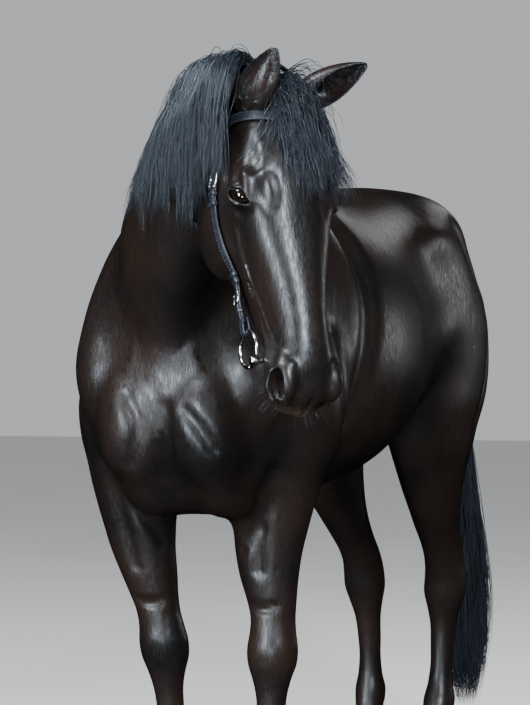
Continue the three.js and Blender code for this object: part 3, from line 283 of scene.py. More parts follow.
def leg_distance(p, name):
    x, y, z = p.T
    s, low, high = LEGS[name[:4]]
    dx, dy = leg_shift(name, z)
    front, back = s["front"](z), s["back"](z)
    deep = (front - back) / 2
    along = x - dx - (front + back) / 2
    across = (y - dy) * side_of(name) - s["middle"](z)
    narrowing = 1 - s["taper"](z) * np.clip(-along / deep, 0, 1)
    wide = np.where(across > 0, s["outer"](z), s["inner"](z)) * narrowing
    level = gauge(along / deep, across / wide, 2.2)
    d = section_distance(np.hypot(along, across), level, np.minimum(deep, wide), 0.9)
    past = np.maximum(z - high, low - z)
    return np.where(past > 0, np.maximum(d, past), d)


def coronet_height(p, name):
    """How far points are above the crown of a hoof."""
    forward, _ = leg_shift(name, HOOF_LEVEL)
    toe, heel = (x + forward for x in HOOVES[name[:4]][0][:2])
    slope = (CORONET[0] - CORONET[1]) / (toe - heel)
    return p[:, 2] - CORONET[1] - slope * (p[:, 0] - heel)


def neck_frames(count=60):
    """Middle, up to the crest, left, forward, half height, half width and roundness along the neck."""
    t = np.linspace(0, len(NECK_ROWS) - 1, count)
    knots = np.arange(len(NECK_ROWS))
    crest, under = (curve(knots, [row[k] for row in NECK_ROWS], t) for k in (0, 1))
    half, power = (through(knots, [row[k] for row in NECK_ROWS], t) for k in (2, 3))
    mid = (crest + under) / 2
    up = crest - under
    height = np.linalg.norm(up, axis=1) / 2
    up = unit(up)
    left = unit(np.cross(up, np.gradient(mid, axis=0)))
    return mid, up, left, np.cross(left, up), height, half, power


NECK = neck_frames()


def neck_place(p):
    """Across and up in the neck's nearest section, its sizes, how far past an end, and the share along it."""
    mid, up, left, forward, height, half, power = NECK
    ahead = p @ forward.T - np.sum(mid * forward, 1)
    i = np.where(ahead[:, :-1] > 0, np.arange(len(mid) - 1), 0).max(1)
    row = np.arange(len(p))
    before, after = ahead[row, i], ahead[row, i + 1]
    gap = before - after
    s = np.clip(before / np.where(np.abs(gap) < 1e-6, 1e-6, gap), 0, 1)
    blend = lambda a: mix(a[i], a[i + 1], s[:, None] if a.ndim == 2 else s)
    offset = p - blend(mid)
    across, upward = np.sum(offset * blend(left), 1), np.sum(offset * blend(up), 1)
    past = np.maximum(-ahead[:, 0], ahead[:, -1])
    return across, upward, blend(height), blend(half), blend(power), past, (i + s) / (len(mid) - 1)


def neck_distance(p):
    across, upward, height, half, power, past, _ = neck_place(p)
    wide = half * (1 - 0.38 * np.clip(upward / height, 0, 1) ** 1.2)
    level = gauge(across / wide, upward / height, power)
    d = section_distance(np.hypot(across, upward), level, np.minimum(wide, height), 0.9)
    return np.where(past > 0, np.maximum(d, past), d)


NOSE = unit(HEAD_NOSE)
LEFT = unit(np.array(HEAD_LEFT) - NOSE * (np.array(HEAD_LEFT) @ NOSE))
HEAD_TURN = np.stack([NOSE, LEFT, np.cross(NOSE, LEFT)], 1)


def to_head(p):
    return (np.asarray(p, float) - HEAD_POLL) @ HEAD_TURN


def from_head(p):
    return np.asarray(p, float) @ HEAD_TURN.T + HEAD_POLL


def skull_distance(p):
    return barrel_distance(to_head(p), HEAD, 0.3, 0.9, 0.3)


# ---- shapes that add to the body or cut it, each within its own box ------------------------------
SHAPES = []  # (distance, blend, cuts)
BOXES = []   # (low, high)
BLOCK = 120.0
FAR = 1000.0


def add(distance, low, high, blend, cuts=False):
    SHAPES.append((distance, blend, cuts))
    BOXES.append((np.array(low, float), np.array(high, float)))


def both_sides(points, mirrored=True):
    points = np.atleast_2d(np.asarray(points, float))
    return [points * (1, s, 1) for s in ((1, -1) if mirrored else (1,))]


def add_ball(centre, radii, blend, line=None, in_head=False, mirrored=True, cuts=False, out=None):
    """An ellipsoid. `line` is two places that its first radius runs between, `out` its second axis."""
    for s in (1, -1) if mirrored else (1,):
        flip = np.array([1, s, 1])
        turn = np.eye(3)
        if line is not None:
            x = unit((np.array(line[1]) - line[0]) * flip)
            y = np.array([0.0, 1.0, 0.0]) if out is None else np.array(out) * flip
            y = unit(y - x * (y @ x))
            turn = np.stack([x, y, np.cross(x, y)], 1)
        middle = np.array(centre, float) * flip
        if in_head:
            middle, turn = from_head(middle), HEAD_TURN @ turn
        size = np.array(radii, float)

        def distance(p, middle=middle, turn=turn, size=size):
            q = (p - middle) @ turn
            near = np.linalg.norm(q / size, axis=1)
            slope = np.linalg.norm(q / size ** 2, axis=1)
            return near * (near - 1) / np.maximum(slope, 1e-9)
        reach = size.max() + blend
        add(distance, middle - reach, middle + reach, blend, cuts)


def add_line(points, radii, blend, cuts=False):
    """A rod with round ends through the points, with a radius at each."""
    points = np.asarray(points, float)
    radii = np.broadcast_to(np.asarray(radii, float), len(points))
    a, ab = points[:-1], np.diff(points, axis=0)

    def distance(p):
        q = p[:, None] - a
        t = np.clip(np.sum(q * ab, 2) / np.sum(ab * ab, 1), 0, 1)
        return (np.linalg.norm(q - t[..., None] * ab, axis=2) - mix(radii[:-1], radii[1:], t)).min(1)
    reach = radii.max() + blend
    add(distance, points.min(0) - reach, points.max(0) + reach, blend, cuts)


def add_on_head(points, radii, blend):
    """The same rod on both sides of the head."""
    for side in both_sides(points):
        add_line(from_head(side), radii, blend)


def field(p):
    """The body's field at points, in millimetres: negative inside."""
    p = np.asarray(p, float)
    lows = np.array([low for low, _ in BOXES])
    highs = np.array([high for _, high in BOXES])
    out = np.full(len(p), FAR)
    keys = np.floor(p / BLOCK).astype(int)
    order = np.lexsort(keys.T)
    edges = np.flatnonzero(np.any(np.diff(keys[order], axis=0), axis=1)) + 1
    for chosen in np.split(order, edges):
        block = p[chosen]
        near = (lows <= block.max(0)).all(1) & (highs >= block.min(0)).all(1)
        value = np.full(len(block), FAR)
        for k in np.flatnonzero(near):
            inside = np.flatnonzero(((block > lows[k]) & (block < highs[k])).all(1))
            if len(inside):
                distance, blend, cuts = SHAPES[k]
                d = distance(block[inside])
                if cuts:
                    value[inside] = -smooth_min(-value[inside], d, blend)
                else:
                    value[inside] = smooth_min(value[inside], d, blend)
        out[chosen] = value
    return out


def slope_at(p, step=1.0):
    """The field's value and its gradient."""
    value = field(p)
    gradient = np.stack([field(p + step * axis) - value for axis in np.eye(3)], 1) / step
    return value, gradient


def settle(p, level=0.0, rounds=5):
    """Moves points that are near the surface onto it, or `level` above it."""
    p = np.array(p, float)
    for _ in range(rounds):
        value, gradient = slope_at(p)
        steep = np.maximum(np.sum(gradient ** 2, 1), 0.09)
        move = (value - level) / steep
        p -= gradient * np.clip(move, -12, 12)[:, None]
    return p


def normal_at(p):
    return unit(slope_at(p)[1] + 1e-9)


def line_on_skin(places, in_head=False, spacing=16.0):
    """Points every `spacing` along a smooth curve through the places, laid on the skin."""
    places = np.asarray(places, float)
    if in_head:
        places = from_head(places)
    run = run_along(places)
    t = np.linspace(0, run[-1], max(int(run[-1] / spacing), 2) + 1)
    return settle(curve(run, places, t))


def add_crease(places, radius, blend, cuts=True, in_head=False, mirrored=True, proud=0.0, spacing=16.0):
    """A groove in the skin, or a ridge such as a vein, along the places; thin at both ends."""
    lines = [line_on_skin(side, in_head, spacing) for side in both_sides(places, mirrored)]
    for line in [line + normal_at(line) * proud for line in lines]:
        thinning = np.sin(np.pi * np.linspace(0.12, 0.88, len(line))) ** 0.6
        add_line(line, radius * thinning, blend, cuts)


def build_masses():
    """The masses that the solids have too."""
    add(trunk_distance, (-930, -400, 720), (820, 400, 1680), 30)
    add_ball((-520, 112, 1436), (205, 118, 112), 60)    # croup
    add_ball((-372, 210, 1402), (66, 32, 46), 90)       # point of hip
    add_ball((-590, 150, 1190), (205, 106, 235), 70)    # thigh
    add_ball((-770, 102, 1215), (84, 84, 215), 60)      # buttock
    blade = (400, 60, 1550), (640, 190, 1120)
    add_ball((500, 156, 1300), (255, 72, 95), 70, blade)    # shoulder blade
    add_ball((452, 208, 1030), (130, 86, 170), 60)      # back of the upper arm
    add_ball((632, 166, 1080), (72, 68, 100), 70)       # point of shoulder
    add_ball((650, 84, 985), (94, 92, 142), 36)         # breast
    add_ball((560, 84, 868), (112, 78, 88), 45)         # breast between the forelegs
    for name in STANCE:
        back, front, top = (150, 800, 1220) if name.startswith("fore") else (-1000, -250, 1430)
        right, far = (-20, 340) if name.endswith("left") else (-340, 20)
        low = (back, right, 20)
        add(lambda p, name=name: leg_distance(p, name), low, (front, far, top), 60)
        add(lambda p, name=name: coronet_height(p, name) + HIDDEN_IN_HOOF, low, (front, far, 150), 4, True)
    add(neck_distance, (200, -260, 850), (1100, 480, 1800), 70)
    middle = from_head((300, 0, -130))
    add(skull_distance, middle - 500, middle + 500, 40)
    add_ball((205, 56, -186), (112, 38, 96), 24, in_head=True)           # cheek
    add_on_head([(186, 84, -8), (232, 88, -22)], (17, 15), 26)           # brow
    add_on_head([(120, 74, -62), (190, 92, -50)], (13, 14), 26)          # cheek arch
    add_on_head([(196, 90, -58), (240, 84, -66)], (12, 12), 22)          # rim under the eye
    add_on_head([(240, 84, -84), (350, 66, -108)], (10, 7), 24)          # facial crest
    add_ball((562, 48, -58), (46, 22, 32), 20, in_head=True)             # nostril wing
    add_ball((584, 0, -84), (34, 48, 46), 20, in_head=True, mirrored=False)    # upper lip
    add_ball((552, 0, -152), (46, 42, 30), 20, in_head=True, mirrored=False)   # lower lip and chin


build_masses()


# ---- ears: thin shells, read through a level set -------------------------------------------------
EARS = {
    "left": dict(root=(14.0, 66.0, -8.0), axis=(-0.026, 0.876, 0.482), opening=(0.55, 0.3, -0.78)),
    "right": dict(root=(32.0, -60.0, -8.0), axis=(-0.62, 0.12, 0.775), opening=(0.8, 0.35, 0.5)),
}
EAR_LENGTH, EAR_WIDTH, EAR_WALL = 154.0, 36.0, 6.0
EAR_HOLLOW = ((46, 4, 30), (78, 6, 31), (108, 9, 26))   # up the ear, towards its opening, radius
EAR_VOXEL, EAR_BAND = 1.5, 16.0     # the level set's spacing, and how far it tells distances


def ear_frame(ear):
    along = unit(ear["axis"])
    opening = np.array(ear["opening"])
    opening = unit(opening - along * (opening @ along))
    return along, opening, np.cross(along, opening)


def ear_point(ear, t, share, wall):
    """A place on the pinna: t from root to tip, share -1 to 1 across, `wall` inwards from its outside."""
    along, opening, across = ear_frame(ear)
    t, share = np.broadcast_arrays(np.asarray(t, float), np.asarray(share, float))
    solid_root = 1 - smoothstep(t, 0.05, 0.35)
    bulge = np.sin(np.pi * np.clip(0.22 + 0.78 * t, 0, 1) ** 0.9) ** 0.75
    radius = EAR_WIDTH * bulge + 3.5 - wall * (1 + 3 * solid_root)
    roll = np.radians(mix(165, 95, t ** 0.6)) * share
    middle = (from_head(ear["root"]) + (EAR_LENGTH * (t - 0.12))[..., None] * along
              + (14 * t * t)[..., None] * opening)
    return (middle - (0.8 * radius * np.cos(roll))[..., None] * opening
            + (radius * np.sin(roll))[..., None] * across)


def grid_faces(rows, columns, start=0, flip=False):
    """Quads of a grid of points, row by row."""
    i, j = np.meshgrid(np.arange(rows - 1), np.arange(columns - 1), indexing="ij")
    a = (i * columns + j).ravel() + start
    quads = np.stack([a, a + 1, a + columns + 1, a + columns], 1)
    return quads[:, ::-1] if flip else quads


def rim_of(rows, columns):
    """Indices round a grid's edge, in order."""
    top = np.arange(columns)
    right = np.arange(1, rows) * columns + columns - 1
    bottom = (rows - 1) * columns + np.arange(columns - 2, -1, -1)
    left = np.arange(rows - 2, 0, -1) * columns
    return np.concatenate([top, right, bottom, left])


def shell_faces(rows, columns):
    """Faces of a closed shell of two grids joined round their rims; the second grid is the outside."""
    count = rows * columns
    rim = rim_of(rows, columns)
    after = np.roll(rim, -1)
    side = np.stack([rim, after, after + count, rim + count], 1)
    return np.concatenate([grid_faces(rows, columns), grid_faces(rows, columns, count, True), side])


def level_set(points, quads, voxel, reach):
    """Distance to a closed mesh, as a function that reads a grid."""
    grid = openvdb.FloatGrid.createLevelSetFromPolygons(
        np.asarray(points, float), quads=np.asarray(quads, np.uint32),
        transform=openvdb.createLinearTransform(voxel), halfWidth=reach / voxel)
    low, high = grid.evalActiveVoxelBoundingBox()
    values = np.zeros([high[k] - low[k] + 1 for k in range(3)])
    grid.copyToArray(values, ijk=low)
    low = np.array(low, float)
    top = np.array(values.shape) - 1.001

    def distance(p):
        q = p / voxel - low
        q = np.clip(q, 0, top)
        i = q.astype(int)
        f = q - i
        out = 0
        for corner in np.ndindex(2, 2, 2):
            weight = np.prod(np.where(corner, f, 1 - f), axis=1)
            out = out + weight * values[i[:, 0] + corner[0], i[:, 1] + corner[1], i[:, 2] + corner[2]]
        return out
    return distance, low * voxel, (low + values.shape) * voxel


def add_ears():
    """Each ear is a shell; its room is cut first, as the crest would show inside it."""
    rows, columns = 40, 48
    t, share = np.meshgrid(np.linspace(0, 1, rows), np.linspace(-1, 1, columns), indexing="ij")
    for ear in EARS.values():
        along, opening, _ = ear_frame(ear)
        middle = [from_head(ear["root"]) + up * along + out * opening for up, out, _ in EAR_HOLLOW]
        add_line(middle, [radius for _, _, radius in EAR_HOLLOW], 5, cuts=True)
        points = np.concatenate([ear_point(ear, t, share, wall).reshape(-1, 3) for wall in (EAR_WALL, 0.0)])
        distance, low, high = level_set(points, shell_faces(rows, columns), EAR_VOXEL, EAR_BAND)
        add(distance, low + 2 * EAR_VOXEL, high - 2 * EAR_VOXEL, 12)


# ---- finer forms ---------------------------------------------------------------------------------
def lens(p, centre, along, up, half_long, rise_up, rise_down):
    """Distance to an almond-shaped prism across the plane of `along` and `up`."""
    q = p - centre
    x, y = q @ along, q @ up
    arcs = []
    for rise, way in ((rise_up, 1), (rise_down, -1)):
        radius = (half_long ** 2 + rise ** 2) / (2 * rise)
        arcs.append(np.hypot(x, y + way * (radius - rise)) - radius)
    return np.maximum(*arcs)


def eye_axes(side):
    """Centre of an eye, its gaze, the direction of its inner corner and up to its brow."""
    flip = np.array([1, side, 1])
    out = HEAD_TURN @ unit(np.array(EYE["out"]) * flip)
    inner = HEAD_TURN @ (np.array(EYE["fissure"]) * flip)
    inner = unit(inner - out * (inner @ out))
    return from_head(np.array(EYE["centre"]) * flip), out, inner, np.cross(inner, out) * side


LIDS = ((16.5, 3.6), (25, 3.8), (-16, 3.4))                  # rise and radius of each fold
LID_ARC = ((-26, 0.1), (-14, 0.75), (0, 1.0), (15, 0.8), (27, 0.15))   # along the eye, share of the rise


def add_eyes():
    """The bulge, folds and almond opening of the lids, with room for the eyeball."""
    radius = EYE["radius"]
    for side in (1, -1):
        centre, out, inner, up = eye_axes(side)
        box = (centre - 60, centre + 60)

        def ball(p, centre=centre, inner=inner):
            q = p - centre
            return np.linalg.norm(q - (q @ inner * (1 - 1 / EYE["long"]))[:, None] * inner, axis=1) - radius
        add(lambda p, ball=ball: ball(p) - 4.0, *box, 14)
        for rise, thick in LIDS:
            arc = [(a, rise * share) for a, share in LID_ARC]
            ahead = [math.sqrt(max((radius + 5) ** 2 - (a / EYE["long"]) ** 2 - b * b, 60)) for a, b in arc]
            fold = [centre + out * c + inner * a + up * b for (a, b), c in zip(arc, ahead)]
            add_line(fold, thick, 3.5)

        def opening(p, centre=centre, out=out, inner=inner, up=up):
            almond = lens(p, centre, inner, up, 29, 12, 9)
            ahead = (p - centre) @ out
            return np.maximum(np.maximum(almond, 6 - ahead), np.linalg.norm(p - centre, axis=1) - 45)
        add(lambda p, ball=ball: ball(p) - 0.4, *box, 1, True)
        add(opening, *box, 2.5, True)


def add_muzzle():
    """Nostrils with the fold that hangs into them, lips and chin."""
    rim = [(552, 48, -40), (544, 58, -48), (550, 68, -64), (572, 70, -82), (596, 62, -88)]
    add_on_head(rim, (7, 8, 7, 7, 6), 9)
    slit = (552, 54, -50), (606, 56, -76)
    add_ball((578, 61, -62), (31, 26, 18), 7, slit, in_head=True, cuts=True, out=(0, 1, 0.2))
    add_ball((574, 44, -62), (20, 18, 13), 6, in_head=True, cuts=True)
    wing = [(548, 42, -34), (562, 44, -38), (580, 43, -48), (597, 42, -62), (606, 42, -76)]
    add_on_head(wing, (9, 7, 6.5, 6, 7), 8)
    mouth = [(476, 58, -130), (500, 60, -131), (530, 58, -130), (560, 50, -127), (588, 34, -124),
             (600, 14, -124), (602, 0, -124)]
    add_crease(mouth, 3.2, 4, in_head=True)
    add_crease([(604, 0, -56), (612, 0, -80), (614, 0, -104)], 4, 8, in_head=True, mirrored=False)


def add_face():
    """The hollows over each eye and the veins of the cheeks."""
    above_eye = (120, 70, -10), (185, 74, 0)
    add_ball((150, 88, 8), (40, 16, 16), 20, above_eye, in_head=True, cuts=True)
    add_ball((230, 62, 18), (34, 13, 13), 26, in_head=True, cuts=True)
    vein = dict(radius=3.0, blend=10, cuts=False, in_head=True, proud=-2.0)
    add_crease([(330, 70, -96), (370, 62, -96), (420, 55, -88), (470, 52, -76), (505, 50, -62)], **vein)
    add_crease([(400, 58, -96), (440, 57, -100), (490, 58, -96)], **vein)


def add_breast():
    """The filled front of the breast, the tail's dock, and the grooves round the breast."""
    add_ball((655, 0, 1130), (70, 75, 90), 70, mirrored=False)
    add_ball((640, 0, 1040), (84, 90, 120), 60, mirrored=False)
    add_ball((655, 58, 985), (62, 44, 90), 60)
    dock = [(-770, 0, 1390), (-850, 1, 1400), (-898, 4, 1368), (-922, 8, 1316), (-936, 12, 1250)]
    add_line(dock, (44, 35, 28, 22, 14), 44)
    for places, radius, blend, proud in (
            ([(745, 8, 1015), (715, 8, 930), (677, 4, 885), (640, 0, 835)], 9, 30, 3),
            ([(745, 60, 1010), (742, 92, 976), (728, 120, 930)], 8, 36, 5),
            ([(735, -76, 1040), (735, -50, 985), (717, -70, 905)], 8, 36, 5)):
        add_crease(places, radius, blend, proud=proud, mirrored=False)
    fold = [(700, 108, 872), (560, 172, 815), (530, 146, 780), (509, 122, 752), (485, 110, 715)]
    add_crease(fold, 8, 26, proud=2)


def add_muscles():
    """The hollow of each flank, and the grooves between the muscles of the trunk and forelegs."""
    add_ball((-300, 338, 1345), (190, 88, 120), 100, cuts=True)
    thigh = [(-520, 240, 1470), (-640, 250, 1360), (-705, 240, 1240), (-700, 240, 1110), (-640, 225, 990)]
    behind_shoulder = [(300, 160, 1560), (235, 268, 1420), (235, 296, 1270), (285, 292, 1110),
                       (330, 260, 990)]
    shoulder = [(470, 150, 1520), (440, 250, 1360), (500, 262, 1200), (560, 250, 1100)]
    upper_arm = [(420, 265, 1180), (430, 255, 1060), (400, 250, 960)]
    for places, radius, blend, proud in (
            (thigh, 11, 60, 6), (behind_shoulder, 14, 70, 5), (shoulder, 12, 60, 4), (upper_arm, 11, 50, 4)):
        add_crease(places, radius, blend, proud=proud, spacing=30)
    forearm = [(566, 182, 900), (556, 168, 820), (540, 156, 740), (524, 148, 670)]
    knee = [(506, 108, 590), (516, 140, 586), (506, 172, 592)]
    for name in ("foreleg_left", "foreleg_right"):
        for places, radius, blend, proud in ((forearm, 8, 34, 4), (knee, 6, 22, 2)):
            rows = np.array(places, float) * (1, side_of(name), 1)
            rows[:, :2] += np.stack(leg_shift(name, rows[:, 2]), 1)
            add_crease(rows, radius, blend, proud=proud, mirrored=False)


# ---- where the bridle runs -----------------------------------------------------------------------
HANGS = 12.0                        # a strap further than this from the skin hangs free
CHEEK = [(52, 91, -106), (100, 88, -126), (142, 86, -140), (202, 88, -146), (262, 84, -150), (322, 72, -154),
         (380, 64, -154), (424, 61, -150)]


def over_the_head(half, top):
    """A route from one side over a middle place to the other side."""
    return [*half, top, *[(x, -y, z) for x, y, z in half[::-1]]]


def strap_line(places, spacing=5.0):
    """A smooth line through places of the head's frame, on the skin where it is near, and its normals."""
    knots = from_head(places)
    for _ in range(2):
        near = field(knots) < HANGS
        knots[near] = settle(knots[near])
    run = run_along(knots)
    line = curve(run, knots, np.linspace(0, run[-1], int(run[-1] / spacing) + 1))
    near = field(line) < HANGS
    line[near] = settle(line[near])
    normal = np.where(near[:, None], normal_at(line), unit(line - from_head((150, 0, -150))))
    return smooth_rows(line, 10), unit(smooth_rows(normal, 10))


def strap_lines():
    """The bridle's lines over the head, without its ears."""
    half_crown = [(46, 91, -102), (10, 94, -90), (-34, 84, -74), (-64, 50, -58)]
    half_brow = [(54, 88, -66), (56, 78, -40), (66, 52, 0)]
    half_throat = [(62, 92, -124), (92, 90, -176), (120, 94, -230), (144, 72, -288), (168, 36, -320)]
    routes = {"crownpiece": over_the_head(half_crown, (-76, -16, -54)),
              "browband": over_the_head(half_brow, (76, 0, 16)),
              "throatlatch": over_the_head(half_throat, (178, 0, -328)),
              "left": CHEEK,
              "right": [(x, -y, z) for x, y, z in CHEEK]}
    return {name: strap_line(places) for name, places in routes.items()}


STRAPS = strap_lines()
add_ears()
add_eyes()
add_muzzle()
add_face()
add_breast()
add_muscles()

# ---- scene helpers -------------------------------------------------------------------------------
eye_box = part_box("eye_left")
SHIFT = np.array([(eye_box[0][k] + eye_box[1][k]) / 2 for k in range(3)]) - from_head(EYE["centre"]) * MM


def to_scene(p):
    return np.asarray(p, float) * MM + SHIFT


def mesh_object(name, points, faces, material, slot, replaced=(), normals=None):
    """A piece of the horse from points in millimetres. `faces` is one array or several, by corner count."""
    mesh = bpy.data.meshes.new(name)
    groups = faces if isinstance(faces, (list, tuple)) else [faces]
    groups = [np.asarray(group, np.int32) for group in groups if len(group)]
    corners = np.concatenate([group.ravel() for group in groups])
    sizes = np.concatenate([np.full(len(group), group.shape[1]) for group in groups])
    mesh.vertices.add(len(points))
    mesh.vertices.foreach_set("co", to_scene(points).ravel())
    mesh.loops.add(len(corners))
    mesh.loops.foreach_set("vertex_index", corners)
    mesh.polygons.add(len(sizes))
    mesh.polygons.foreach_set("loop_start", np.concatenate([[0], np.cumsum(sizes)[:-1]]).astype(np.int32))
    mesh.update(calc_edges=True)
    mesh.polygons.foreach_set("use_smooth", np.full(len(sizes), True))
    if normals is not None:
        mesh.normals_split_custom_set_from_vertices(normals.tolist())
    mesh.materials.append(material)
    piece = bpy.data.objects.new(name, mesh)
    bpy.context.collection.objects.link(piece)
    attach(piece, "root")
    if replaced:
        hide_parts(*replaced)
    return piece


# ---- materials -----------------------------------------------------------------------------------
class Finish:
    """A node material under construction; its shader's even values are set on the shader itself."""

    def __init__(self, name, colour, roughness, metallic=0.0, **sockets):
        self.made = bpy.data.materials.new(name)
        self.made.use_nodes = True
        self.tree = self.made.node_tree
        self.shader = self.tree.nodes["Principled BSDF"]
        self.shader.inputs["Base Color"].default_value = (*colour, 1)
        self.shader.inputs["Roughness"].default_value = roughness
        self.shader.inputs["Metallic"].default_value = metallic
        for socket, value in sockets.items():
            self.shader.inputs[socket.replace("_", " ")].default_value = value
        self.place = self.node("ShaderNodeTexCoord").outputs["Object"]
        self.bumped = None

    def node(self, kind, inputs=(), **settings):
        made = self.tree.nodes.new(kind)
        for key, value in settings.items():
            setattr(made, key, value)
        for socket, value in dict(inputs).items():
            if isinstance(value, bpy.types.NodeSocket):
                self.tree.links.new(value, made.inputs[socket])
            else:
                made.inputs[socket].default_value = value
        return made

    def noise(self, scale, stretch=(1, 1, 1), detail=3.0):
        """Noise of `scale` per metre; a small stretch draws it out along that axis."""
        mapped = self.node("ShaderNodeMapping", {"Vector": self.place, "Scale": stretch}).outputs["Vector"]
        return self.node("ShaderNodeTexNoise", {"Vector": mapped, "Scale": scale, "Detail": detail,
                                                "Roughness": 0.55}).outputs["Fac"]

    def ramp(self, source, stops):
        """A ramp through (place, value or colour) stops."""
        made = self.node("ShaderNodeValToRGB", {"Fac": source})
        elements = made.color_ramp.elements
        while len(elements) < len(stops):
            elements.new(0.5)
        for element, (at, value) in zip(elements, stops):
            element.position = at
            element.color = (*value, 1) if isinstance(value, tuple) else (value, value, value, 1)
        return made.outputs["Color"]

    def colour(self, source, stops):
        self.tree.links.new(self.ramp(source, stops), self.shader.inputs["Base Color"])

    def tint(self, places, reach, colour):
        """Another colour near some places, in metres."""
        for place in places:
            away = self.node("ShaderNodeVectorMath", {0: self.place, 1: tuple(place)}, operation="DISTANCE")
            share = self.node("ShaderNodeMapRange", {"Value": away.outputs["Value"], "From Min": reach * 0.4,
                                                     "From Max": reach, "To Min": 0.85, "To Max": 0.0})
            socket = self.shader.inputs["Base Color"]
            mixed = self.node("ShaderNodeMix", data_type="RGBA")
            self.tree.links.new(share.outputs["Result"], mixed.inputs[0])
            self.tree.links.new(socket.links[0].from_socket, mixed.inputs[6])
            mixed.inputs[7].default_value = (*colour, 1)
            self.tree.links.new(mixed.outputs[2], socket)

    def roughness(self, source, low, high):
        spread = self.node("ShaderNodeMapRange", {"Value": source, "From Min": 0.3, "From Max": 0.7,
                                                  "To Min": low, "To Max": high})
        self.tree.links.new(spread.outputs["Result"], self.shader.inputs["Roughness"])

    def bump(self, source, depth):
        """Adds relief, `depth` metres at most, to the relief there already is."""
        inputs = {"Height": source, "Distance": depth, "Strength": 1.0}
        if self.bumped is not None:
            inputs["Normal"] = self.bumped
        self.bumped = self.node("ShaderNodeBump", inputs).outputs["Normal"]
        self.tree.links.new(self.bumped, self.shader.inputs["Normal"])


def make_coat():
    """Short glossy hair: near-black, browner in patches, with fine streaks down the body."""
    made = Finish("coat", (0.008, 0.006, 0.005), 0.34,
                  Specular_IOR_Level=0.46, Specular_Tint=(0.80, 0.90, 1.0, 1))
    made.colour(made.noise(5.0, detail=4.0),
                [(0.35, (0.0045, 0.0038, 0.0037)), (0.62, (0.012, 0.0072, 0.0052))])
    ears = [to_scene(ear_point(ear, 0.45, 0.0, EAR_WALL)) for ear in EARS.values()]
    made.tint(ears, 0.062, (0.022, 0.011, 0.008))
    made.tint([to_scene(from_head((604, 0, -128)))], 0.06, (0.034, 0.023, 0.016))
    made.roughness(made.noise(230.0, (1, 1, 0.22)), 0.28, 0.48)
    made.bump(made.noise(45.0, (1, 1, 0.5), 2.0), 0.0010)
    made.bump(made.noise(320.0, (1, 1, 0.2), 2.0), 0.0003)
    made.bump(made.noise(1100.0, (1, 1, 0.12), 1.0), 0.0001)
    return made.made


def make_hair():
    """Long coarse hair: black, with random darker and lighter streaks, and a cool sheen that is partly real,
    from the tinted specular, and partly painted, as a lighter bluish base colour.
    """
    made = Finish("hair", (0.008, 0.009, 0.012), 0.34,
                  Specular_IOR_Level=0.6, Specular_Tint=(0.72, 0.86, 1.0, 1))
    # painted sheen: the lighter, bluish end of this base colour paints in the cool sheen of lit hair; the
    # streaky spread between strands is their own tone
    made.colour(made.noise(90.0, (1, 1, 0.1)),
                [(0.3, (0.006, 0.0075, 0.0105)), (0.7, (0.022, 0.028, 0.040))])
    made.roughness(made.noise(300.0, (1, 1, 0.1)), 0.26, 0.42)
    return made.made


def make_horn():
    made = Finish("horn", (0.03, 0.028, 0.026), 0.45)
    made.colour(made.noise(60.0, (1, 1, 6)), [(0.3, (0.012, 0.010, 0.009)), (0.7, (0.045, 0.038, 0.031))])
    made.roughness(made.noise(120.0, (1, 1, 4)), 0.35, 0.55)
    made.bump(made.noise(500.0, (1, 1, 0.08)), 0.0004)
    return made.made


def make_leather():
    made = Finish("leather", (0.008, 0.011, 0.018), 0.4)
    made.colour(made.noise(140.0, detail=5.0), [(0.3, (0.005, 0.007, 0.012)), (0.72, (0.014, 0.020, 0.034))])
    made.roughness(made.noise(90.0), 0.3, 0.48)
    made.bump(made.noise(1400.0), 0.0002)
    return made.made


def make_steel():
    made = Finish("steel", (0.72, 0.72, 0.74), 0.16, 1.0)
    made.roughness(made.noise(220.0, detail=5.0), 0.1, 0.26)
    made.bump(made.noise(90.0), 0.0001)
    return made.made


def make_eyeball():
    """A wet, very dark brown eye with a slightly lighter iris round its pupil."""
    made = Finish("eyeball", (0.008, 0.005, 0.004), 0.04, Coat_Weight=1.0, Coat_Roughness=0.02)
    made.colour(made.noise(260.0), [(0.35, (0.0025, 0.0018, 0.0016)), (0.7, (0.009, 0.0045, 0.003))])
    return made.made


def make_thread():
    made = Finish("thread", (0.03, 0.035, 0.045), 0.6)
    made.colour(made.noise(900.0), [(0.3, (0.02, 0.024, 0.03)), (0.7, (0.05, 0.055, 0.07))])
    return made.made


def make_ground():
    made = Finish("floor", (0.72, 0.72, 0.72), 0.9)
    made.colour(made.noise(1.5, detail=5.0), [(0.3, (0.70, 0.70, 0.70)), (0.7, (0.74, 0.74, 0.735))])
    made.roughness(made.noise(4.0), 0.85, 0.95)
    return made.made


coat, hair, horn, leather = make_coat(), make_hair(), make_horn(), make_leather()
steel, eyeball, thread = make_steel(), make_eyeball(), make_thread()


# ---- skin ----------------------------------------------------------------------------------------
def surface(low, high, step):
    """Points and quads of the field's zero surface within a box."""
    low, high = np.array(low, float), np.array(high, float)
    counts = np.ceil((high - low) / step).astype(int) + 1
    axes = [low[k] + step * np.arange(counts[k]) for k in range(3)]
    places = np.stack(np.meshgrid(*axes, indexing="ij"), -1).reshape(-1, 3)
    values = np.clip(field(places), -50, 50).reshape(counts)
    grid = openvdb.FloatGrid(50.0)
    grid.copyFromArray(values)
    points, _, quads = grid.convertToPolygons(isovalue=0.0, adaptivity=0.0)
    return np.array(points) * step + low, quads[:, ::-1]


CUT_ROW = 42                        # the skin's fine and coarse halves meet across the neck here
cut_point, cut_along = NECK[0][CUT_ROW], NECK[3][CUT_ROW]


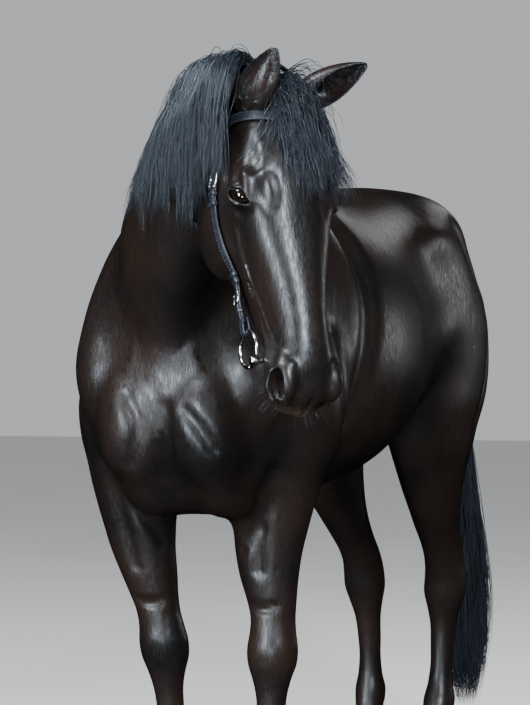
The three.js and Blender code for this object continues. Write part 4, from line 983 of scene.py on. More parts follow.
def half_of_skin(points, quads, keep, gap=1.5):
    """The mesh on one side of the cut across the neck; only near it, as the cut is a plane."""
    mesh = bmesh.new()
    for point in points:
        mesh.verts.new(point)
    mesh.verts.ensure_lookup_table()
    for quad in quads:
        mesh.faces.new([mesh.verts[i] for i in quad])
    everything = mesh.verts[:] + mesh.edges[:] + mesh.faces[:]
    plane = cut_point + cut_along * gap * keep
    bmesh.ops.bisect_plane(mesh, geom=everything, plane_co=plane, plane_no=cut_along,
                           clear_inner=keep > 0, clear_outer=keep < 0)
    return mesh


def make_skin():
    """One skin over all the flesh: the fine head and the coarser body, bridged across the neck."""
    body_points, body_quads = surface((-930, -420, 20), (1080, 480, 1740), GRID)
    head_corners = from_head(np.array(np.meshgrid((-190, 640), (-120, 120), (-340, 60))).reshape(3, -1).T)
    ear_tips = [ear_point(ear, 1.0, 0.0, 0.0) for ear in EARS.values()]
    corners = np.concatenate([head_corners, ear_tips])
    head_points, head_quads = surface(corners.min(0) - 20, corners.max(0) + 20, FINE_GRID)
    body = half_of_skin(body_points, body_quads, -1)
    head = half_of_skin(head_points, head_quads, 1)
    joined = bpy.data.meshes.new("skin")
    head.to_mesh(joined)
    body.from_mesh(joined)
    loose = [edge for edge in body.edges if edge.is_boundary
             and abs((np.array(edge.verts[0].co) - cut_point) @ cut_along) < 3]
    bmesh.ops.bridge_loops(body, edges=loose)
    bmesh.ops.recalc_face_normals(body, faces=body.faces)
    points = settle(np.array([vert.co for vert in body.verts]), -COAT_DEPTH, 3)
    body.verts.index_update()
    groups = {}
    for face in body.faces:
        groups.setdefault(len(face.verts), []).append([vert.index for vert in face.verts])
    replaced = ["trunk", "neck", "head", "ear_left", "ear_right", *STANCE]
    skin = mesh_object("skin", points, list(groups.values()), coat, "coat", replaced,
                       normals=normal_at(points))
    body.free()
    head.free()
    return skin


skin = make_skin()

# ---- hooves and eyes -----------------------------------------------------------------------------
def ring_faces(rows, columns):
    """Quads of a tube of rings."""
    i, j = np.meshgrid(np.arange(rows - 1), np.arange(columns), indexing="ij")
    a, b = (i * columns + j).ravel(), (i * columns + (j + 1) % columns).ravel()
    return np.stack([a, b, b + columns, a + columns], 1)


def capped(rings):
    """Points, quads and triangles of a closed body through the rings, with a fan at each end."""
    rows, columns = rings.shape[:2]
    points = np.concatenate([rings.reshape(-1, 3), [rings[0].mean(0), rings[-1].mean(0)]])
    first = np.arange(columns)
    after = np.roll(first, -1)
    last = first + (rows - 1) * columns
    foot = np.full(columns, rows * columns)
    caps = [np.stack([after, first, foot], 1), np.stack([last, np.roll(last, -1), foot + 1], 1)]
    return points, [ring_faces(rows, columns), np.concatenate(caps)]


def make_hoof(name):
    """A hoof wall with growth rings, a rounded ground edge and a soft edge at its crown."""
    columns, rows = 72, 60
    crown_row, ground_row, middle = HOOVES[name[:4]]
    forward, left = leg_shift(name, HOOF_LEVEL)
    angle = np.linspace(0, 2 * np.pi, columns, endpoint=False)[None, :]
    share = 0.5 + 0.5 * np.sign(np.cos(angle)) * np.abs(np.cos(angle)) ** 0.8
    up = np.linspace(0, 1, rows)[:, None]
    rings = 0.35 * np.sin(up * 55 + 0.5 * np.sin(3 * angle)) + 0.2 * np.sin(up * 131 + angle)
    edge = (-3.0 * np.clip(1 - up / 0.03, 0, 1) ** 2 + 1.4 * smoothstep(up, 0.86, 0.9)
            - 4 * smoothstep(up, 0.93, 1.0))
    swell = rings * smoothstep(up, 0.03, 0.1) * (1 - smoothstep(up, 0.8, 0.9)) + edge
    toe, heel, half = (mix(a, b, up) for a, b in zip(ground_row, crown_row))
    level = mix(CORONET[1], CORONET[0], share)
    x = mix(heel, toe, share) + forward + swell * np.cos(angle)
    y = side_of(name) * middle + left + (half + swell) * np.sin(angle)
    wall = np.stack([x, y, up * level], -1)
    sole = wall[:1] * (1, 1, 0)
    inward = mix(sole.mean(1, keepdims=True), sole, 0.6)
    points, faces = capped(np.concatenate([inward, wall]))
    foot = name.replace("leg", "")
    mesh_object("hoof_horn_" + foot, points, faces, horn, "hoof", ["hoof_" + foot])


def make_eye(name, side):
    """An eyeball with a clear bulge in front."""
    centre, out, inner, up = eye_axes(side)
    polar = np.concatenate([[0.02], np.linspace(0, np.pi, 40)[1:-1], [np.pi - 0.02]])[:, None]
    turn = np.linspace(0, 2 * np.pi, 56, endpoint=False)[None, :]
    radius = EYE["radius"] + 1.2 * (1 - smoothstep(polar, 0.3, 0.75)) + 0 * turn
    rings = centre + (radius * np.cos(polar))[..., None] * out + (radius * np.sin(polar))[..., None] * (
        EYE["long"] * np.cos(turn)[..., None] * inner + np.sin(turn)[..., None] * up * side)
    points, faces = capped(rings[::-1])
    mesh_object("eyeball_" + name, points, faces, eyeball, "eye", ["eye_" + name])


for leg in STANCE:
    make_hoof(leg)
make_eye("left", 1)
make_eye("right", -1)


# ---- hair ----------------------------------------------------------------------------------------
DOWN = np.array([0.0, 0.0, -1.0])
PATCH = 0.003                       # width of one strand's place on the map of the skin


def unwrap(p):
    """Places on a map of the skin: each part has a rectangle, its length by its girth."""
    u, v = np.zeros(len(p)), np.zeros(len(p))

    def place(chosen, along, turn, low, size):
        u[chosen] = (low[0] + size[0] * np.clip(along, 0, 1))[chosen]
        v[chosen] = (low[1] + size[1] * (turn / (2 * np.pi) + 0.5))[chosen]
    x, y, z = p.T
    place(np.full(len(p), True), (x + 1050) / 1900, np.arctan2(y, z - 1150), (0.02, 0.52), (0.94, 0.45))
    across, upward, _, _, _, _, along = neck_place(p)
    place(neck_distance(p) < 40, along, np.arctan2(across, upward), (0.34, 0.02), (0.28, 0.45))
    for k, name in enumerate(STANCE):
        s, _, _ = LEGS[name[:4]]
        low = z < (780 if name.startswith("fore") else 935)
        ahead = (x > 0) == name.startswith("fore")
        dx, dy = leg_shift(name, z)
        middle_x = mix(s["front"](z), s["back"](z), 0.5) + dx
        middle_y = side_of(name) * s["middle"](z) + dy
        place(low & ahead & (np.sign(y) == side_of(name)), z / 1000,
              np.arctan2(y - middle_y, x - middle_x), (0.66 + 0.08 * k, 0.02), (0.07, 0.45))
    hx, hy, hz = to_head(p).T
    place((skull_distance(p) < 90) & (hx > -60), (hx + 60) / 700,
          np.arctan2(hy, hz + 130), (0.02, 0.02), (0.3, 0.45))
    return np.stack([u, v], 1)


def tubes(paths, radii, sides=3):
    """Points, quads and triangles of closed, tapered rods. Paths are rods by steps by place."""
    count, steps, _ = paths.shape
    tangent = unit(np.gradient(paths, axis=1) + 1e-9)
    seed = np.cross(unit(paths[:, -1] - paths[:, 0]), rng.normal(size=(count, 3)))[:, None]
    a = unit(np.cross(tangent, seed))
    b = np.cross(tangent, a)
    turn = np.arange(sides) * 2 * np.pi / sides
    rings = paths[:, :-1, None] + radii[:, :-1, None, None] * (
        np.cos(turn)[:, None] * a[:, :-1, None] + np.sin(turn)[:, None] * b[:, :-1, None])
    size = sides * (steps - 1) + 1
    points = np.concatenate([rings.reshape(count, -1, 3), paths[:, -1:]], 1).reshape(-1, 3)
    start = np.arange(count)[:, None, None] * size
    quads = (start + ring_faces(steps - 1, sides)[None]).reshape(-1, 4)
    last = sides * (steps - 2)
    ends = [(0, k + 1, k) for k in range(1, sides - 1)]
    ends += [(last + k, last + (k + 1) % sides, size - 1) for k in range(sides)]
    return points, [quads, (start + np.array(ends)[None]).reshape(-1, 3)]


def hair_object(name, paths, radii, made=hair, slot="hair", replaced=()):
    """Strands in one mesh; each has a small patch of the skin's map, at its root's place."""
    steps = paths.shape[1]
    points, faces = tubes(paths, radii)
    piece = mesh_object(name, points, faces, made, slot, replaced)
    local = np.stack([np.append(np.tile(np.arange(3), steps - 1), 1) / 2,
                      np.append(np.repeat(np.arange(steps - 1), 3), steps - 1) / (steps - 1)], 1)
    uv = (unwrap(paths[:, 0])[:, None] + PATCH * local[None]).reshape(-1, 2)
    corners = np.zeros(len(piece.data.loops), np.int32)
    piece.data.loops.foreach_get("vertex_index", corners)
    layer = piece.data.uv_layers.new(name="OFBake")
    layer.data.foreach_set("uv", uv[corners].astype(np.float32).ravel())
    return piece


def clear_of_ears(paths, above=4.0, room=1.02):
    """Which strands keep out of the room that an ear and its hollow take, from `above` its root."""
    clear = np.full(len(paths), True)
    for ear in EARS.values():
        along, opening, _ = ear_frame(ear)
        root = from_head(ear["root"])
        offset = paths - root
        up = offset @ along
        middle = root + up[..., None] * along + opening * 6
        width = EAR_WIDTH * room * np.sin(np.pi * np.clip(up / EAR_LENGTH * 0.72 + 0.28, 0, 1)) ** 0.6
        hit = (up > above) & (up < EAR_LENGTH) & (np.linalg.norm(paths - middle, axis=2) < width)
        clear &= ~hit.any(1)
    return clear


def drape(roots, ways, lengths, lifts, steps, weight):
    """Strands that leave their roots, bend under their weight and lie on the body or each other."""
    places = [np.asarray(roots, float)]
    way = unit(ways)
    weight = np.reshape(weight, (-1, 1))
    reach = (lengths / (steps - 1))[:, None]
    for k in range(1, steps):
        way = unit(way + weight * DOWN * (0.8 + 0.8 * k / steps))
        place = places[-1] + way * reach
        value, gradient = slope_at(place, 2.0)
        near = value < 300
        lift = lifts * min(k / 3, 1.0)
        push = np.clip(lift - value, 0, 25) / np.maximum(np.sum(gradient ** 2, 1), 0.3)
        place = place + np.where(near, push, 0)[:, None] * gradient
        way = unit(place - places[-1])
        places.append(places[-1] + way * reach)
    return smooth_rows(np.stack(places), 4).swapaxes(0, 1)


def clump(paths, groups, strength):
    """Draws strands towards the first strand of their group, most at the tips."""
    order = np.argsort(groups, kind="stable")
    sorted_groups = groups[order]
    first = order[np.searchsorted(sorted_groups, groups)]
    t = np.linspace(0, 1, paths.shape[1])[None, :, None]
    goal = paths[first] + (paths[:, :1] - paths[first][:, :1]) * 0.25
    return mix(paths, goal, strength[:, None, None] * t ** 1.3)


def wander(paths, size, waves):
    """Slow sideways waves, different for each strand, that grow from the root."""
    count, steps, _ = paths.shape
    t = np.linspace(0, 1, steps)[None, :, None]
    phase = rng.uniform(0, 2 * np.pi, (count, 1, 3))
    speed = rng.uniform(0.6, 1.4, (count, 1, 3)) * waves * 2 * np.pi
    return paths + size * t * (np.sin(phase + speed * t) - np.sin(phase))


def taper(count, steps, radius, tip=0.15):
    """Radii that stay even for most of a strand and thin to its tip."""
    t = np.linspace(0, 1, steps)[None]
    return radius * rng.uniform(0.7, 1.3, (count, 1)) * mix(1, tip, t ** 2.5)


def groups_by_place(places, size):
    """Numbers that gather nearby roots."""
    cells = np.floor(places / size + rng.uniform(-0.35, 0.35, places.shape)).astype(int)
    return np.unique(cells, axis=0, return_inverse=True)[1].ravel()


def in_pieces(name, paths, radii, replaced, limit=2100):
    """Strands in as many pieces as keep each one light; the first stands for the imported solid."""
    for k in range(0, len(paths), limit):
        label = name if k == 0 else f"{name}_{k // limit + 1}"
        hair_object(label, paths[k:k + limit], radii[k:k + limit], replaced=replaced)


def hair_from(name, found):
    """One piece of the strands found in several places."""
    paths, radii = (np.concatenate(lots) for lots in zip(*found))
    hair_object(name, paths, radii)


def make_mane(count=5600, low=900, longest=376):
    """The mane falls to the right; it is longest towards the poll and stands up a little there."""
    mid, up, left, forward, height, _, _ = NECK
    along = np.concatenate([rng.uniform(0, 1, count) ** 0.7, rng.uniform(-0.75, 0, low)])
    count += low
    frame = mix(27.0, 59.0, along)
    frames = np.arange(len(mid))
    rise_at = np.interp(frame, frames, height)[:, None]
    top = between(frames, mid, frame) + between(frames, up, frame) * rise_at
    side = unit(between(frames, left, frame))
    roots = settle(top + side * rng.normal(0, 9, count)[:, None], -2.0, 3)
    locks = groups_by_place(roots, 13.0)
    of_lock = rng.uniform(0, 1, locks.max() + 1)[locks]
    by_poll = smoothstep(along, 0.45, 0.95)
    lifts = rng.uniform(0.5, 5, count) + by_poll * rng.uniform(4, 36, count)
    onward = rng.normal(-0.05, 0.1, count) - 0.25 * smoothstep(along, 0.8, 1)
    rise = mix(0.05, 1.5, by_poll) * rng.uniform(0.6, 1.2, count)
    outward = rng.uniform(0.15, 0.4, count) * mix(0.4, 1.0, by_poll) + 0.2 * by_poll
    ways = (unit(between(frames, up, frame)) * rise[:, None] - side * outward[:, None]
            + between(frames, forward, frame) * onward[:, None] + DOWN * mix(0.6, 0.0, by_poll)[:, None])
    lengths = longest * mix(0.3, 1.0, smoothstep(along, -0.8, 0.35)) * mix(0.74, 1.03, of_lock)
    lengths *= rng.uniform(0.8, 1.04, count)
    paths = drape(roots, ways, lengths, lifts, 15, mix(0.95, 0.5, by_poll))
    paths = clump(paths, locks, rng.uniform(0.2, 0.97, count))
    paths = wander(paths, 5.0, 1.2)
    flat = to_head(paths.reshape(-1, 3))
    cheek = (flat[:, 0] > 74) & (flat[:, 1] > -118) & (flat[:, 2] > -140)
    keep = clear_of_ears(paths) & ~cheek.reshape(paths.shape[:2]).any(1)
    in_pieces("mane_hair", paths[keep], taper(count, 15, 0.85, 0.1)[keep], ["mane"])


def make_forelock(count=3400):
    """The forelock starts behind the poll, comes forward between the ears and falls over the forehead."""
    back = rng.uniform(0, 1, count)
    sideways = rng.uniform(0, 1, count)
    across = mix(mix(-20, 6, back), 46, sideways)
    roots = settle(from_head(np.stack([mix(26, -66, back), across, mix(0, -42, back)], 1)), -2.0, 6)
    locks = groups_by_place(roots, 12.0)
    of_lock = rng.uniform(0, 1, locks.max() + 1)[locks]
    fan = mix(-0.38, 0.16, sideways) + np.clip(rng.normal(0, 0.1, count), -0.06, 0.16)
    rise = mix(0.35, 0.5, back) * rng.uniform(0.8, 1.2, count)
    ways = np.stack([mix(0.8, 0.45, back), fan, rise], 1) @ HEAD_TURN.T
    lengths = (246 + 70 * back) * mix(0.66, 1.05, of_lock) * rng.uniform(0.82, 1.04, count)
    lifts = rng.uniform(3, 22, count) + 10 * back
    paths = drape(roots, ways, lengths, lifts, 14, 0.4)
    paths = clump(paths, locks, rng.uniform(0.2, 0.97, count))
    paths = wander(paths, 7.0, 1.2)
    climb = (paths[:, :, 2] - paths[:, :1, 2]).max(1)
    keep = clear_of_ears(paths, 26.0, 0.8) & (climb < 26)
    in_pieces("forelock_hair", paths[keep], taper(count, 14, 0.8, 0.1)[keep], ["forelock"])


def make_tail(count=3600):
    """Strands that start on the dock and keep to the tail's own sections."""
    rows = np.array([(*at, wide, deep) for at, wide, deep in TAIL_ROWS], float)
    knots = np.arange(len(rows))
    steps = np.linspace(0, 1, 20)
    t0 = rng.beta(1.1, 3.5, count) * 3.5
    t1 = np.clip(rng.normal(9.6, 1.1, count), 5, 10.9)
    t = mix(t0[:, None], t1[:, None], steps[None])
    x, y, z, wide, deep = (through(knots, column, t.ravel()).reshape(t.shape) for column in rows.T)
    middle = np.stack([x, y, z], -1)
    angle = rng.uniform(0, 2 * np.pi, count)[:, None] + rng.normal(0, 0.5, (count, 1)) * steps
    radius = np.sqrt(rng.uniform(0.05, 1, count))[:, None] * mix(0.9, 1.0, steps)
    forward = unit(np.gradient(middle, axis=1))
    side = unit(np.cross(np.cross(forward, (0, 1, 0)), forward))
    back = np.cross(forward, side)
    paths = middle + (radius * np.cos(angle) * wide)[..., None] * side + (
        radius * np.sin(angle) * deep)[..., None] * back
    around = np.stack([np.cos(angle[:, 0]), np.sin(angle[:, 0]), t0 / 2], 1)
    paths = clump(paths, groups_by_place(around, 0.28), rng.uniform(0.1, 0.6, count))
    paths = wander(paths, 9.0, 1.4)
    in_pieces("tail_hair", paths, taper(count, 20, 1.15), ["tail"], 1700)


def short_hairs(roots, ways, lengths, radius, curl, steps=5):
    """Short hairs that leave the skin in a direction and bend the way `curl` points."""
    t = np.linspace(0, 1, steps)[None, :, None]
    curl = np.broadcast_to(curl, roots.shape)
    paths = roots[:, None] + lengths[:, None, None] * (unit(ways)[:, None] * t + curl[:, None] * t * t)
    return paths, taper(len(roots), steps, radius, 0.1)


def make_lashes(count=70):
    """A row of lashes along each upper lid."""
    found = []
    for side in (1, -1):
        centre, out, inner, up = eye_axes(side)
        share = rng.uniform(-1, 1, count)
        rise = 11 * (1 - share ** 2) + rng.normal(0.6, 0.4, count)
        along = share * 22
        ahead = np.sqrt(np.clip((EYE["radius"] + 4.6) ** 2 - along ** 2 - rise ** 2, 60, None))
        roots = centre + along[:, None] * inner + rise[:, None] * up + ahead[:, None] * out
        ways = out + 0.15 * up + 0.25 * share[:, None] * inner + rng.normal(0, 0.1, (count, 3))
        lengths = rng.uniform(13, 19, count)
        found.append(short_hairs(roots, ways, lengths, 0.35, 0.25 * up + 0.3 * NOSE))
    hair_from("lashes", found)


def make_whiskers(count=150):
    """Whiskers round the muzzle and chin."""
    side = np.where(rng.uniform(0, 1, count) < 0.5, 1, -1)
    x = rng.uniform(520, 612, count)
    z = rng.uniform(-168, -88, count)
    roots = settle(from_head(np.stack([x, side * 70 * rng.uniform(0.1, 1, count), z], 1)), -1.0, 6)
    ways = normal_at(roots) + rng.normal(0, 0.18, (count, 3)) + 0.3 * NOSE
    hair_object("whiskers", *short_hairs(roots, ways, rng.uniform(14, 42, count), 0.3, 0.2 * DOWN))


def make_ear_hair(count=1500):
    """Fine hair along the edges of the ears and inside them."""
    found = []
    for ear in EARS.values():
        along, opening, _ = ear_frame(ear)
        t = rng.uniform(0.08, 0.96, count)
        edge = rng.uniform(0, 1, count) < 0.6
        on_edge = rng.choice((-1, 1), count) * rng.uniform(0.9, 1.0, count)
        share = np.where(edge, on_edge, rng.uniform(-0.8, 0.8, count))
        roots = ear_point(ear, t, share, EAR_WALL * np.where(edge, 0.5, 1.0))
        inward = ear_point(ear, t, share * 0.6, EAR_WALL) - roots
        ways = along * 0.7 + np.where(edge[:, None], 0.5 * unit(inward), 0)
        ways = ways + opening * np.where(edge, 0.5, 0.9)[:, None] + rng.normal(0, 0.15, (count, 3))
        lengths = rng.uniform(4, 10, count) * (1.2 - t) * np.where(edge, 1, 1.9)
        found.append(short_hairs(roots, ways, lengths, 0.3, 0.5 * along))
    hair_from("ear_hair", found)


def make_feathers(count=420):
    """Longer hair behind each fetlock, and a fringe over the crown of each hoof."""
    found = []
    for name in STANCE:
        s, _, _ = LEGS[name[:4]]
        for low, high, spread, length, many in (
                (196, 252, 0.6, 26, count), (60, 100, np.pi, 13, 2 * count)):
            z = rng.uniform(low, high, many)
            angle = np.pi + rng.uniform(-spread, spread, many)
            dx, dy = leg_shift(name, z)
            if low < 100:
                share = 0.5 + 0.5 * np.cos(angle)
                z = mix(CORONET[1], CORONET[0], share) + rng.uniform(3, 10, many)
            deep = (s["front"](z) - s["back"](z)) / 2
            wide = (s["outer"](z) + s["inner"](z)) / 2
            middle_x = (s["front"](z) + s["back"](z)) / 2 + dx
            middle_y = side_of(name) * s["middle"](z) + dy
            roots = np.stack([middle_x + deep * np.cos(angle), middle_y + wide * np.sin(angle), z], 1)
            roots = settle(roots, -2.0, 4)
            ways = DOWN + normal_at(roots) * rng.uniform(0.1, 0.3, many)[:, None]
            lengths = length * rng.uniform(0.5, 1.1, many)
            found.append(short_hairs(roots, ways, lengths, 0.6, 0.25 * DOWN))
    hair_from("fetlock_hair", found)


def make_tufts(count=9000):
    """Short tufts that lie along the body where the coat breaks its form, on every side."""
    mesh = skin.data
    corners = np.zeros(len(mesh.vertices) * 3, np.float32)
    mesh.vertices.foreach_get("co", corners)
    places = (corners.reshape(-1, 3).astype(float) - SHIFT) / MM
    places = places[rng.choice(len(places), min(len(places), 60000), replace=False)]
    normal = normal_at(places)
    x, y, z = places.T
    in_head = to_head(places)
    on_head = skull_distance(places) < 30
    jaw = on_head & (in_head[:, 2] < -170)
    face = on_head & (in_head[:, 0] > 60) & ~jaw
    belly = (normal[:, 2] < -0.6) & (z > 760) & (z < 1010) & (x > -560)
    behind_legs = (normal[:, 0] < -0.55) & (z > 420) & (z < 1000)
    buttocks = (x < -770) & (z > 900)
    breast = (np.abs(y) < 60) & (x > 560) & (z < 1150)
    elbows = (np.abs(x - 380) < 90) & (np.abs(z - 900) < 90)
    weight = 0.0001 + jaw + belly + behind_legs + buttocks + 0.7 * breast + elbows
    weight *= np.where(face | (z < 110), 0, 1)
    count = min(count, np.count_nonzero(weight))
    chosen = rng.choice(len(places), count, replace=False, p=weight / weight.sum())
    roots, normal, jaw = places[chosen], normal[chosen], jaw[chosen]
    lie = np.where(roots[:, 2:] < 800, DOWN, np.array([-0.7, 0.0, -0.7]))
    flat = unit(lie - normal * np.sum(lie * normal, 1, keepdims=True) + 1e-6)
    ways = flat + normal * 0.1 + rng.normal(0, 0.06, roots.shape)
    lengths = rng.uniform(7, 13, len(roots)) * np.where(jaw, 0.8, 1)
    paths, radii = short_hairs(roots - normal * 0.6, ways, lengths, 0.32, -0.06 * normal, 4)
    hair_object("coat_tufts", paths, radii, coat, "coat")


make_mane()
make_forelock()
make_tail()
make_lashes()
make_whiskers()
make_ear_hair()
make_feathers()
make_tufts()

# ---- bridle --------------------------------------------------------------------------------------
def strap_frame(line, normal):
    tangent = unit(np.gradient(line, axis=0))
    normal = unit(normal - tangent * np.sum(normal * tangent, 1, keepdims=True))
    return tangent, normal, np.cross(tangent, normal)


def strap_profile(wide, thick, corner=1.3, crown=0.5):
    """Outline of a strap's section with rounded corners and a slightly crowned face."""
    outline = []
    for k, (sx, sy) in enumerate([(1, 1), (-1, 1), (-1, 0), (1, 0)]):
        middle = (sx * (wide / 2 - corner), corner if sy == 0 else thick - corner)
        for step in range(4):
            angle = math.radians(90 * k + 30 * step)
            outline.append((middle[0] + corner * math.cos(angle), middle[1] + corner * math.sin(angle)))
    top = [(wide * s, thick + crown * (1 - (2 * s) ** 2)) for s in (0.3, 0.1, -0.1, -0.3)]
    return np.array(outline[:4] + top + outline[4:])


def strap_solid(line, normal, wide, thick=STRAP["thick"], lift=STRAP["lift"], taper_end=0):
    """Points and faces of a strap along a line; `taper_end` brings its last part to a point."""
    _, normal, across = strap_frame(line, normal)
    profile = strap_profile(wide, thick)
    share = np.ones(len(line))
    if taper_end:
        run = np.linalg.norm(line - line[-1], axis=1)
        share = np.sqrt(np.clip(run / taper_end, 0.02, 1))
    rings = line[:, None] + across[:, None] * (profile[:, 0] * share[:, None])[..., None] + (
        normal[:, None] * (profile[:, 1] + lift)[None, :, None])
    return capped(rings[:, ::-1])


def stitches(line, normal, wide, inset=2.6, every=6.5):
    """Short raised threads along both edges of a strap."""
    _, normal, across = strap_frame(line, normal)
    run = run_along(line)
    places = np.arange(8, run[-1] - 8, every)
    found = []
    for s in (1, -1):
        for shift, height in ((0, -0.3), (1.2, 0.5), (3.0, 0.5), (4.2, -0.3)):
            at, beside, above = (between(run, rows, places + shift) for rows in (line, across, normal))
            found.append(at + beside * s * (wide / 2 - inset) + above * (STRAP_TOP + height))
    return np.stack(found, 1).reshape(-1, 4, 3)


def joined(parts):
    """Several bodies of points and faces as one."""
    points, quads, triangles, start = [], [], [], 0
    for part_points, (part_quads, part_triangles) in parts:
        points.append(part_points)
        quads.append(np.asarray(part_quads) + start)
        triangles.append(np.asarray(part_triangles) + start)
        start += len(part_points)
    return np.concatenate(points), [np.concatenate(quads), np.concatenate(triangles)]


def wire(path, radius, sides=12, closed=False):
    """A round wire along a path."""
    path = np.asarray(path, float)
    if closed:
        path = np.concatenate([path, path[:1]])
    tangent = unit(np.gradient(path, axis=0))
    if closed:
        tangent[0] = tangent[-1] = unit(path[1] - path[-2])
    seed = unit(np.cross(path[1] - path[0], path[len(path) // 3] - path[0]))
    a = unit(np.cross(tangent, seed))
    b = np.cross(tangent, a)
    turn = np.linspace(0, 2 * np.pi, sides, endpoint=False)[:, None]
    radius = np.broadcast_to(radius, len(path))[:, None, None]
    return capped(path[:, None] + radius * (np.cos(turn) * a[:, None] + np.sin(turn) * b[:, None]))


def at_strap(line, normal, x):
    """The place on a strap's line at x down the face, with its direction, normal and width direction."""
    k = int(np.argmin(np.abs(to_head(line)[:, 0] - x)))
    tangent, normals, across = strap_frame(line, normal)
    return line[k], tangent[k], normals[k], across[k]


def keeper(line, normal, x, wide, height=2.0, length=9.0):
    """A leather loop round a strap."""
    place, tangent, up, across = at_strap(line, normal, x)
    base = STRAP["lift"] - 1.0
    rings = []
    for along in (-length / 2, -length / 2 + 1, length / 2 - 1, length / 2):
        grow = 0.0 if abs(along) == length / 2 else 0.8
        outline = strap_profile(wide + 5 + grow, STRAP["thick"] + 2 + height + grow, 2.4)
        rings.append(place + tangent * along + outline[:, :1] * across
                     + (outline[:, 1:] + base - grow / 2) * up)
    return capped(np.stack(rings)[:, ::-1])


def rounded_frame(place, tangent, up, across, long, wide, radius, corner=5.0):
    """A closed wire bent to a rounded rectangle that lies on a strap."""
    path = []
    for k, (sx, sy) in enumerate(((1, 1), (-1, 1), (-1, -1), (1, -1))):
        for step in range(5):
            angle = math.radians(90 * k + 22.5 * step)
            x = sx * (long / 2 - corner) + corner * math.cos(angle)
            y = sy * (wide / 2 - corner) + corner * math.sin(angle)
            rise = STRAP_TOP + 2 + math.cos(math.pi * y / wide)
            path.append(place + tangent * x + across * y + up * rise)
    return wire(path, radius, closed=True)


def make_buckle(line, normal, x, long=30.0, wide=27.0):
    """A buckle's frame, bar and tongue, on a strap at x down the face."""
    place, tangent, up, across = at_strap(line, normal, x)
    tongue = [place + tangent * t + up * (STRAP_TOP + h)
              for t, h in ((-13, 2.6), (-8, 3.6), (0, 4.4), (8, 4.2), (14, 3.8))]
    bar = [place - tangent * 2 + across * y + up * (STRAP_TOP + 1.2) for y in (-12, -6, 0, 6, 12)]
    return joined([rounded_frame(place, tangent, up, across, long, wide, 2.2),
                   wire(tongue, (1.6, 1.8, 1.7, 1.5, 1.2)), wire(bar, 1.6)])


BANDS = {"crownpiece": (22, 4.0), "browband": (20, 4.0), "throatlatch": (15, 3.5)}   # width, thickness
CHEEK_WIDTH = 17


def make_bridle():
    """The straps, their buckles, keepers and stitching, and the bit."""
    for name, size in BANDS.items():
        mesh_object(name, *strap_solid(*STRAPS[name], *size), leather, "bridle_leather", ["bridle_" + name])
    threads = [stitches(*STRAPS[name], BANDS[name][0]) for name in ("browband", "crownpiece")]
    for name, side in (("left", 1), ("right", -1)):
        line, normal = STRAPS[name]
        down = to_head(line)[:, 0]
        upper, lower = down < 190, down > 318
        parts = [strap_solid(line, normal, CHEEK_WIDTH),
                 strap_solid(line[upper], normal[upper], 16, 3.5, STRAP_TOP + 0.3, taper_end=14),
                 strap_solid(line[lower], normal[lower], 15, 3.5, STRAP_TOP + 0.3)]
        parts += [keeper(line, normal, x, CHEEK_WIDTH, 4.0) for x in (166, 186, 322, 338, 400)]
        parts.append(strap_solid(*bit_loop(side), 15, 3.0, 0.0))
        mesh_object("cheekpiece_" + name, *joined(parts), leather, "bridle_leather",
                    ["bridle_cheekpiece_" + name])
        mesh_object("cheek_buckle_" + name, *make_buckle(line, normal, 142), steel, "bridle_steel",
                    ["bridle_buckle_" + name])
        mesh_object("billet_hook_" + name, *make_buckle(line, normal, 372, 24, 22), steel, "bridle_steel")
        threads.append(stitches(line, normal, CHEEK_WIDTH))
    threads = np.concatenate(threads)
    points, faces = tubes(threads, np.full(threads.shape[:2], 0.55), 5)
    mesh_object("bridle_stitching", points, faces, thread, "bridle_leather")
    make_bit()


def bit_loop(side):
    """The end of a cheekpiece, folded round the top of the bit's ring."""
    x, y, z = BIT["centre"]
    top = x - BIT["ring"]
    room = BIT["wire"] + 0.6
    turn = np.radians(np.linspace(-90, 90, 13))
    shape = [(top - 30, y - 4), (top - 14, y - room)]
    shape += [(top + room * math.cos(a), y + room * math.sin(a)) for a in turn]
    shape += [(top - 14, y + room), (top - 30, y + 3)]
    line = from_head([(a, side * b, z - 2) for a, b in shape])
    centre = from_head([(min(a, top), side * y, z - 2) for a, _ in shape])
    return line, unit(line - centre)


BIT_BAR = ((0.0, 4.2), (0.3, 4.6), (0.6, 5.6), (0.85, 6.8), (0.97, 7.0), (1.06, 6.0))  # share out, radius


def make_bit():
    """A loose-ring snaffle: two rings and a jointed bar that thickens towards them."""
    x, y, z = BIT["centre"]
    turn = np.linspace(0, 2 * np.pi, 64, endpoint=False)
    knots, t = np.linspace(0, 1, len(BIT_BAR)), np.linspace(0, 1, 24)
    thick = np.interp(t, knots, [radius for _, radius in BIT_BAR])
    bow = NOSE * (6 * (1 - t) ** 2)[:, None]
    parts = []
    for side in (1, -1):
        ring = np.stack([x + BIT["ring"] * np.cos(turn), np.full(64, side * y),
                         z + BIT["ring"] * np.sin(turn)], 1)
        bar = from_head([(x + 28, side * y * share, z + 16) for share, _ in BIT_BAR])
        boss = from_head([(x + 28, side * (y + out), z + 16) for out in (-9, -7, -2, 3, 7, 9)])
        parts += [wire(from_head(ring), BIT["wire"], closed=True),
                  wire(between(knots, bar, t) - bow, thick), wire(boss, (5, 8, 9.2, 9.2, 8, 5), 20)]
    mesh_object("snaffle_bit", *joined(parts), steel, "bridle_steel", ["bridle_bit"])


make_bridle()

# ---- studio --------------------------------------------------------------------------------------
def linked(name, data):
    """A new object in the scene."""
    made = bpy.data.objects.new(name, data)
    bpy.context.collection.objects.link(made)
    return made


def make_floor():
    mesh = bpy.data.meshes.new("floor")
    mesh.from_pydata([(-40, -40, 0), (40, -40, 0), (40, 40, 0), (-40, 40, 0)], [], [(0, 1, 2, 3)])
    floor = linked("floor", mesh)
    mesh.materials.append(make_ground())
    floor.visible_glossy = False


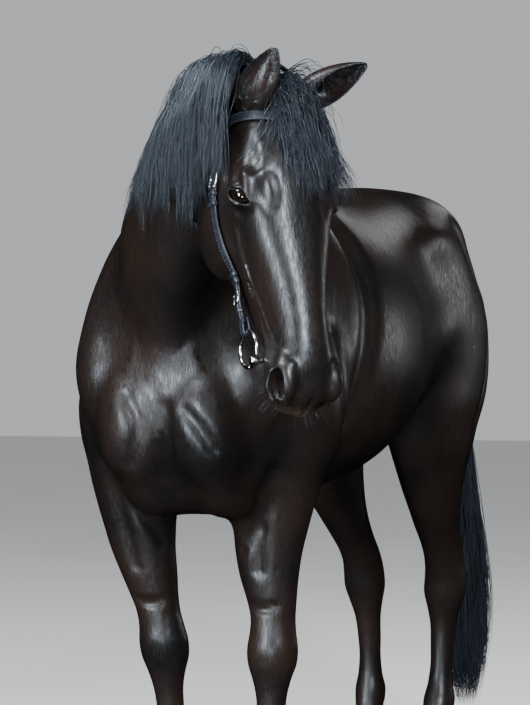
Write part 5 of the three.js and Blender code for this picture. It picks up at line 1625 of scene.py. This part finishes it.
def make_light(name, place, target, power, size, glossy=True):
    lamp = bpy.data.lights.new(name, "AREA")
    lamp.energy, lamp.shape, lamp.size, lamp.size_y = power, "RECTANGLE", size[0], size[1]
    holder = linked(name, lamp)
    holder.visible_glossy = glossy
    holder.location = place
    holder.rotation_euler = (Vector(target) - Vector(place)).to_track_quat("-Z", "Y").to_euler()


def polar(distance, azimuth, elevation):
    """A place round the horse's breast, by degrees from straight ahead towards its left, and up."""
    a, e = math.radians(azimuth), math.radians(elevation)
    return (0.5 + distance * math.cos(a) * math.cos(e), distance * math.sin(a) * math.cos(e),
            1.0 + distance * math.sin(e))


def make_world():
    world = bpy.data.worlds.new("studio")
    bpy.context.scene.world = world
    world.use_nodes = True
    world.cycles_visibility.glossy = False
    world.node_tree.nodes["Background"].inputs["Color"].default_value = (0.85, 0.87, 0.9, 1)
    world.node_tree.nodes["Background"].inputs["Strength"].default_value = 0.6


CAMERA = dict(place=(4.8235, 1.99, 1.05), yaw=203.2, pitch=1.0, sensor=24.0, lens=74.893617)


def make_camera():
    """The photo's view: from in front, a little to the horse's left, about level."""
    camera = bpy.data.cameras.new("camera")
    camera.sensor_width, camera.lens = CAMERA["sensor"], CAMERA["lens"]
    holder = linked("camera", camera)
    holder.location = np.array(CAMERA["place"]) + SHIFT
    yaw, pitch = math.radians(CAMERA["yaw"]), math.radians(CAMERA["pitch"])
    way = Vector((math.cos(pitch) * math.cos(yaw), math.cos(pitch) * math.sin(yaw), math.sin(pitch)))
    holder.rotation_euler = way.to_track_quat("-Z", "Y").to_euler()
    bpy.context.scene.camera = holder


make_floor()
make_world()
make_light("key", polar(5.5, 38, 27), (0.5, 0.1, 1.1), 420, (0.8, 1.4))
make_light("breast", polar(6.0, -20, 6), (0.5, 0.0, 1.0), 360, (0.8, 1.8))
make_light("legs", polar(5.0, 6, -8), (0.5, 0.0, 0.7), 80, (0.8, 0.8))
make_light("rim", polar(7.0, 177, 25), (-0.3, 0.2, 1.4), 12, (0.08, 1.3))
make_light("rump", polar(7.0, 148, 8), (-0.4, 0.2, 1.3), 26, (0.08, 1.2))
make_light("mane", polar(5.0, -35, 48), (0.7, 0.0, 1.5), 260, (1.2, 1.2))
make_light("top", (0.0, 0.0, 6.0), (0, 0, 0), 220, (5, 5), False)
make_camera()
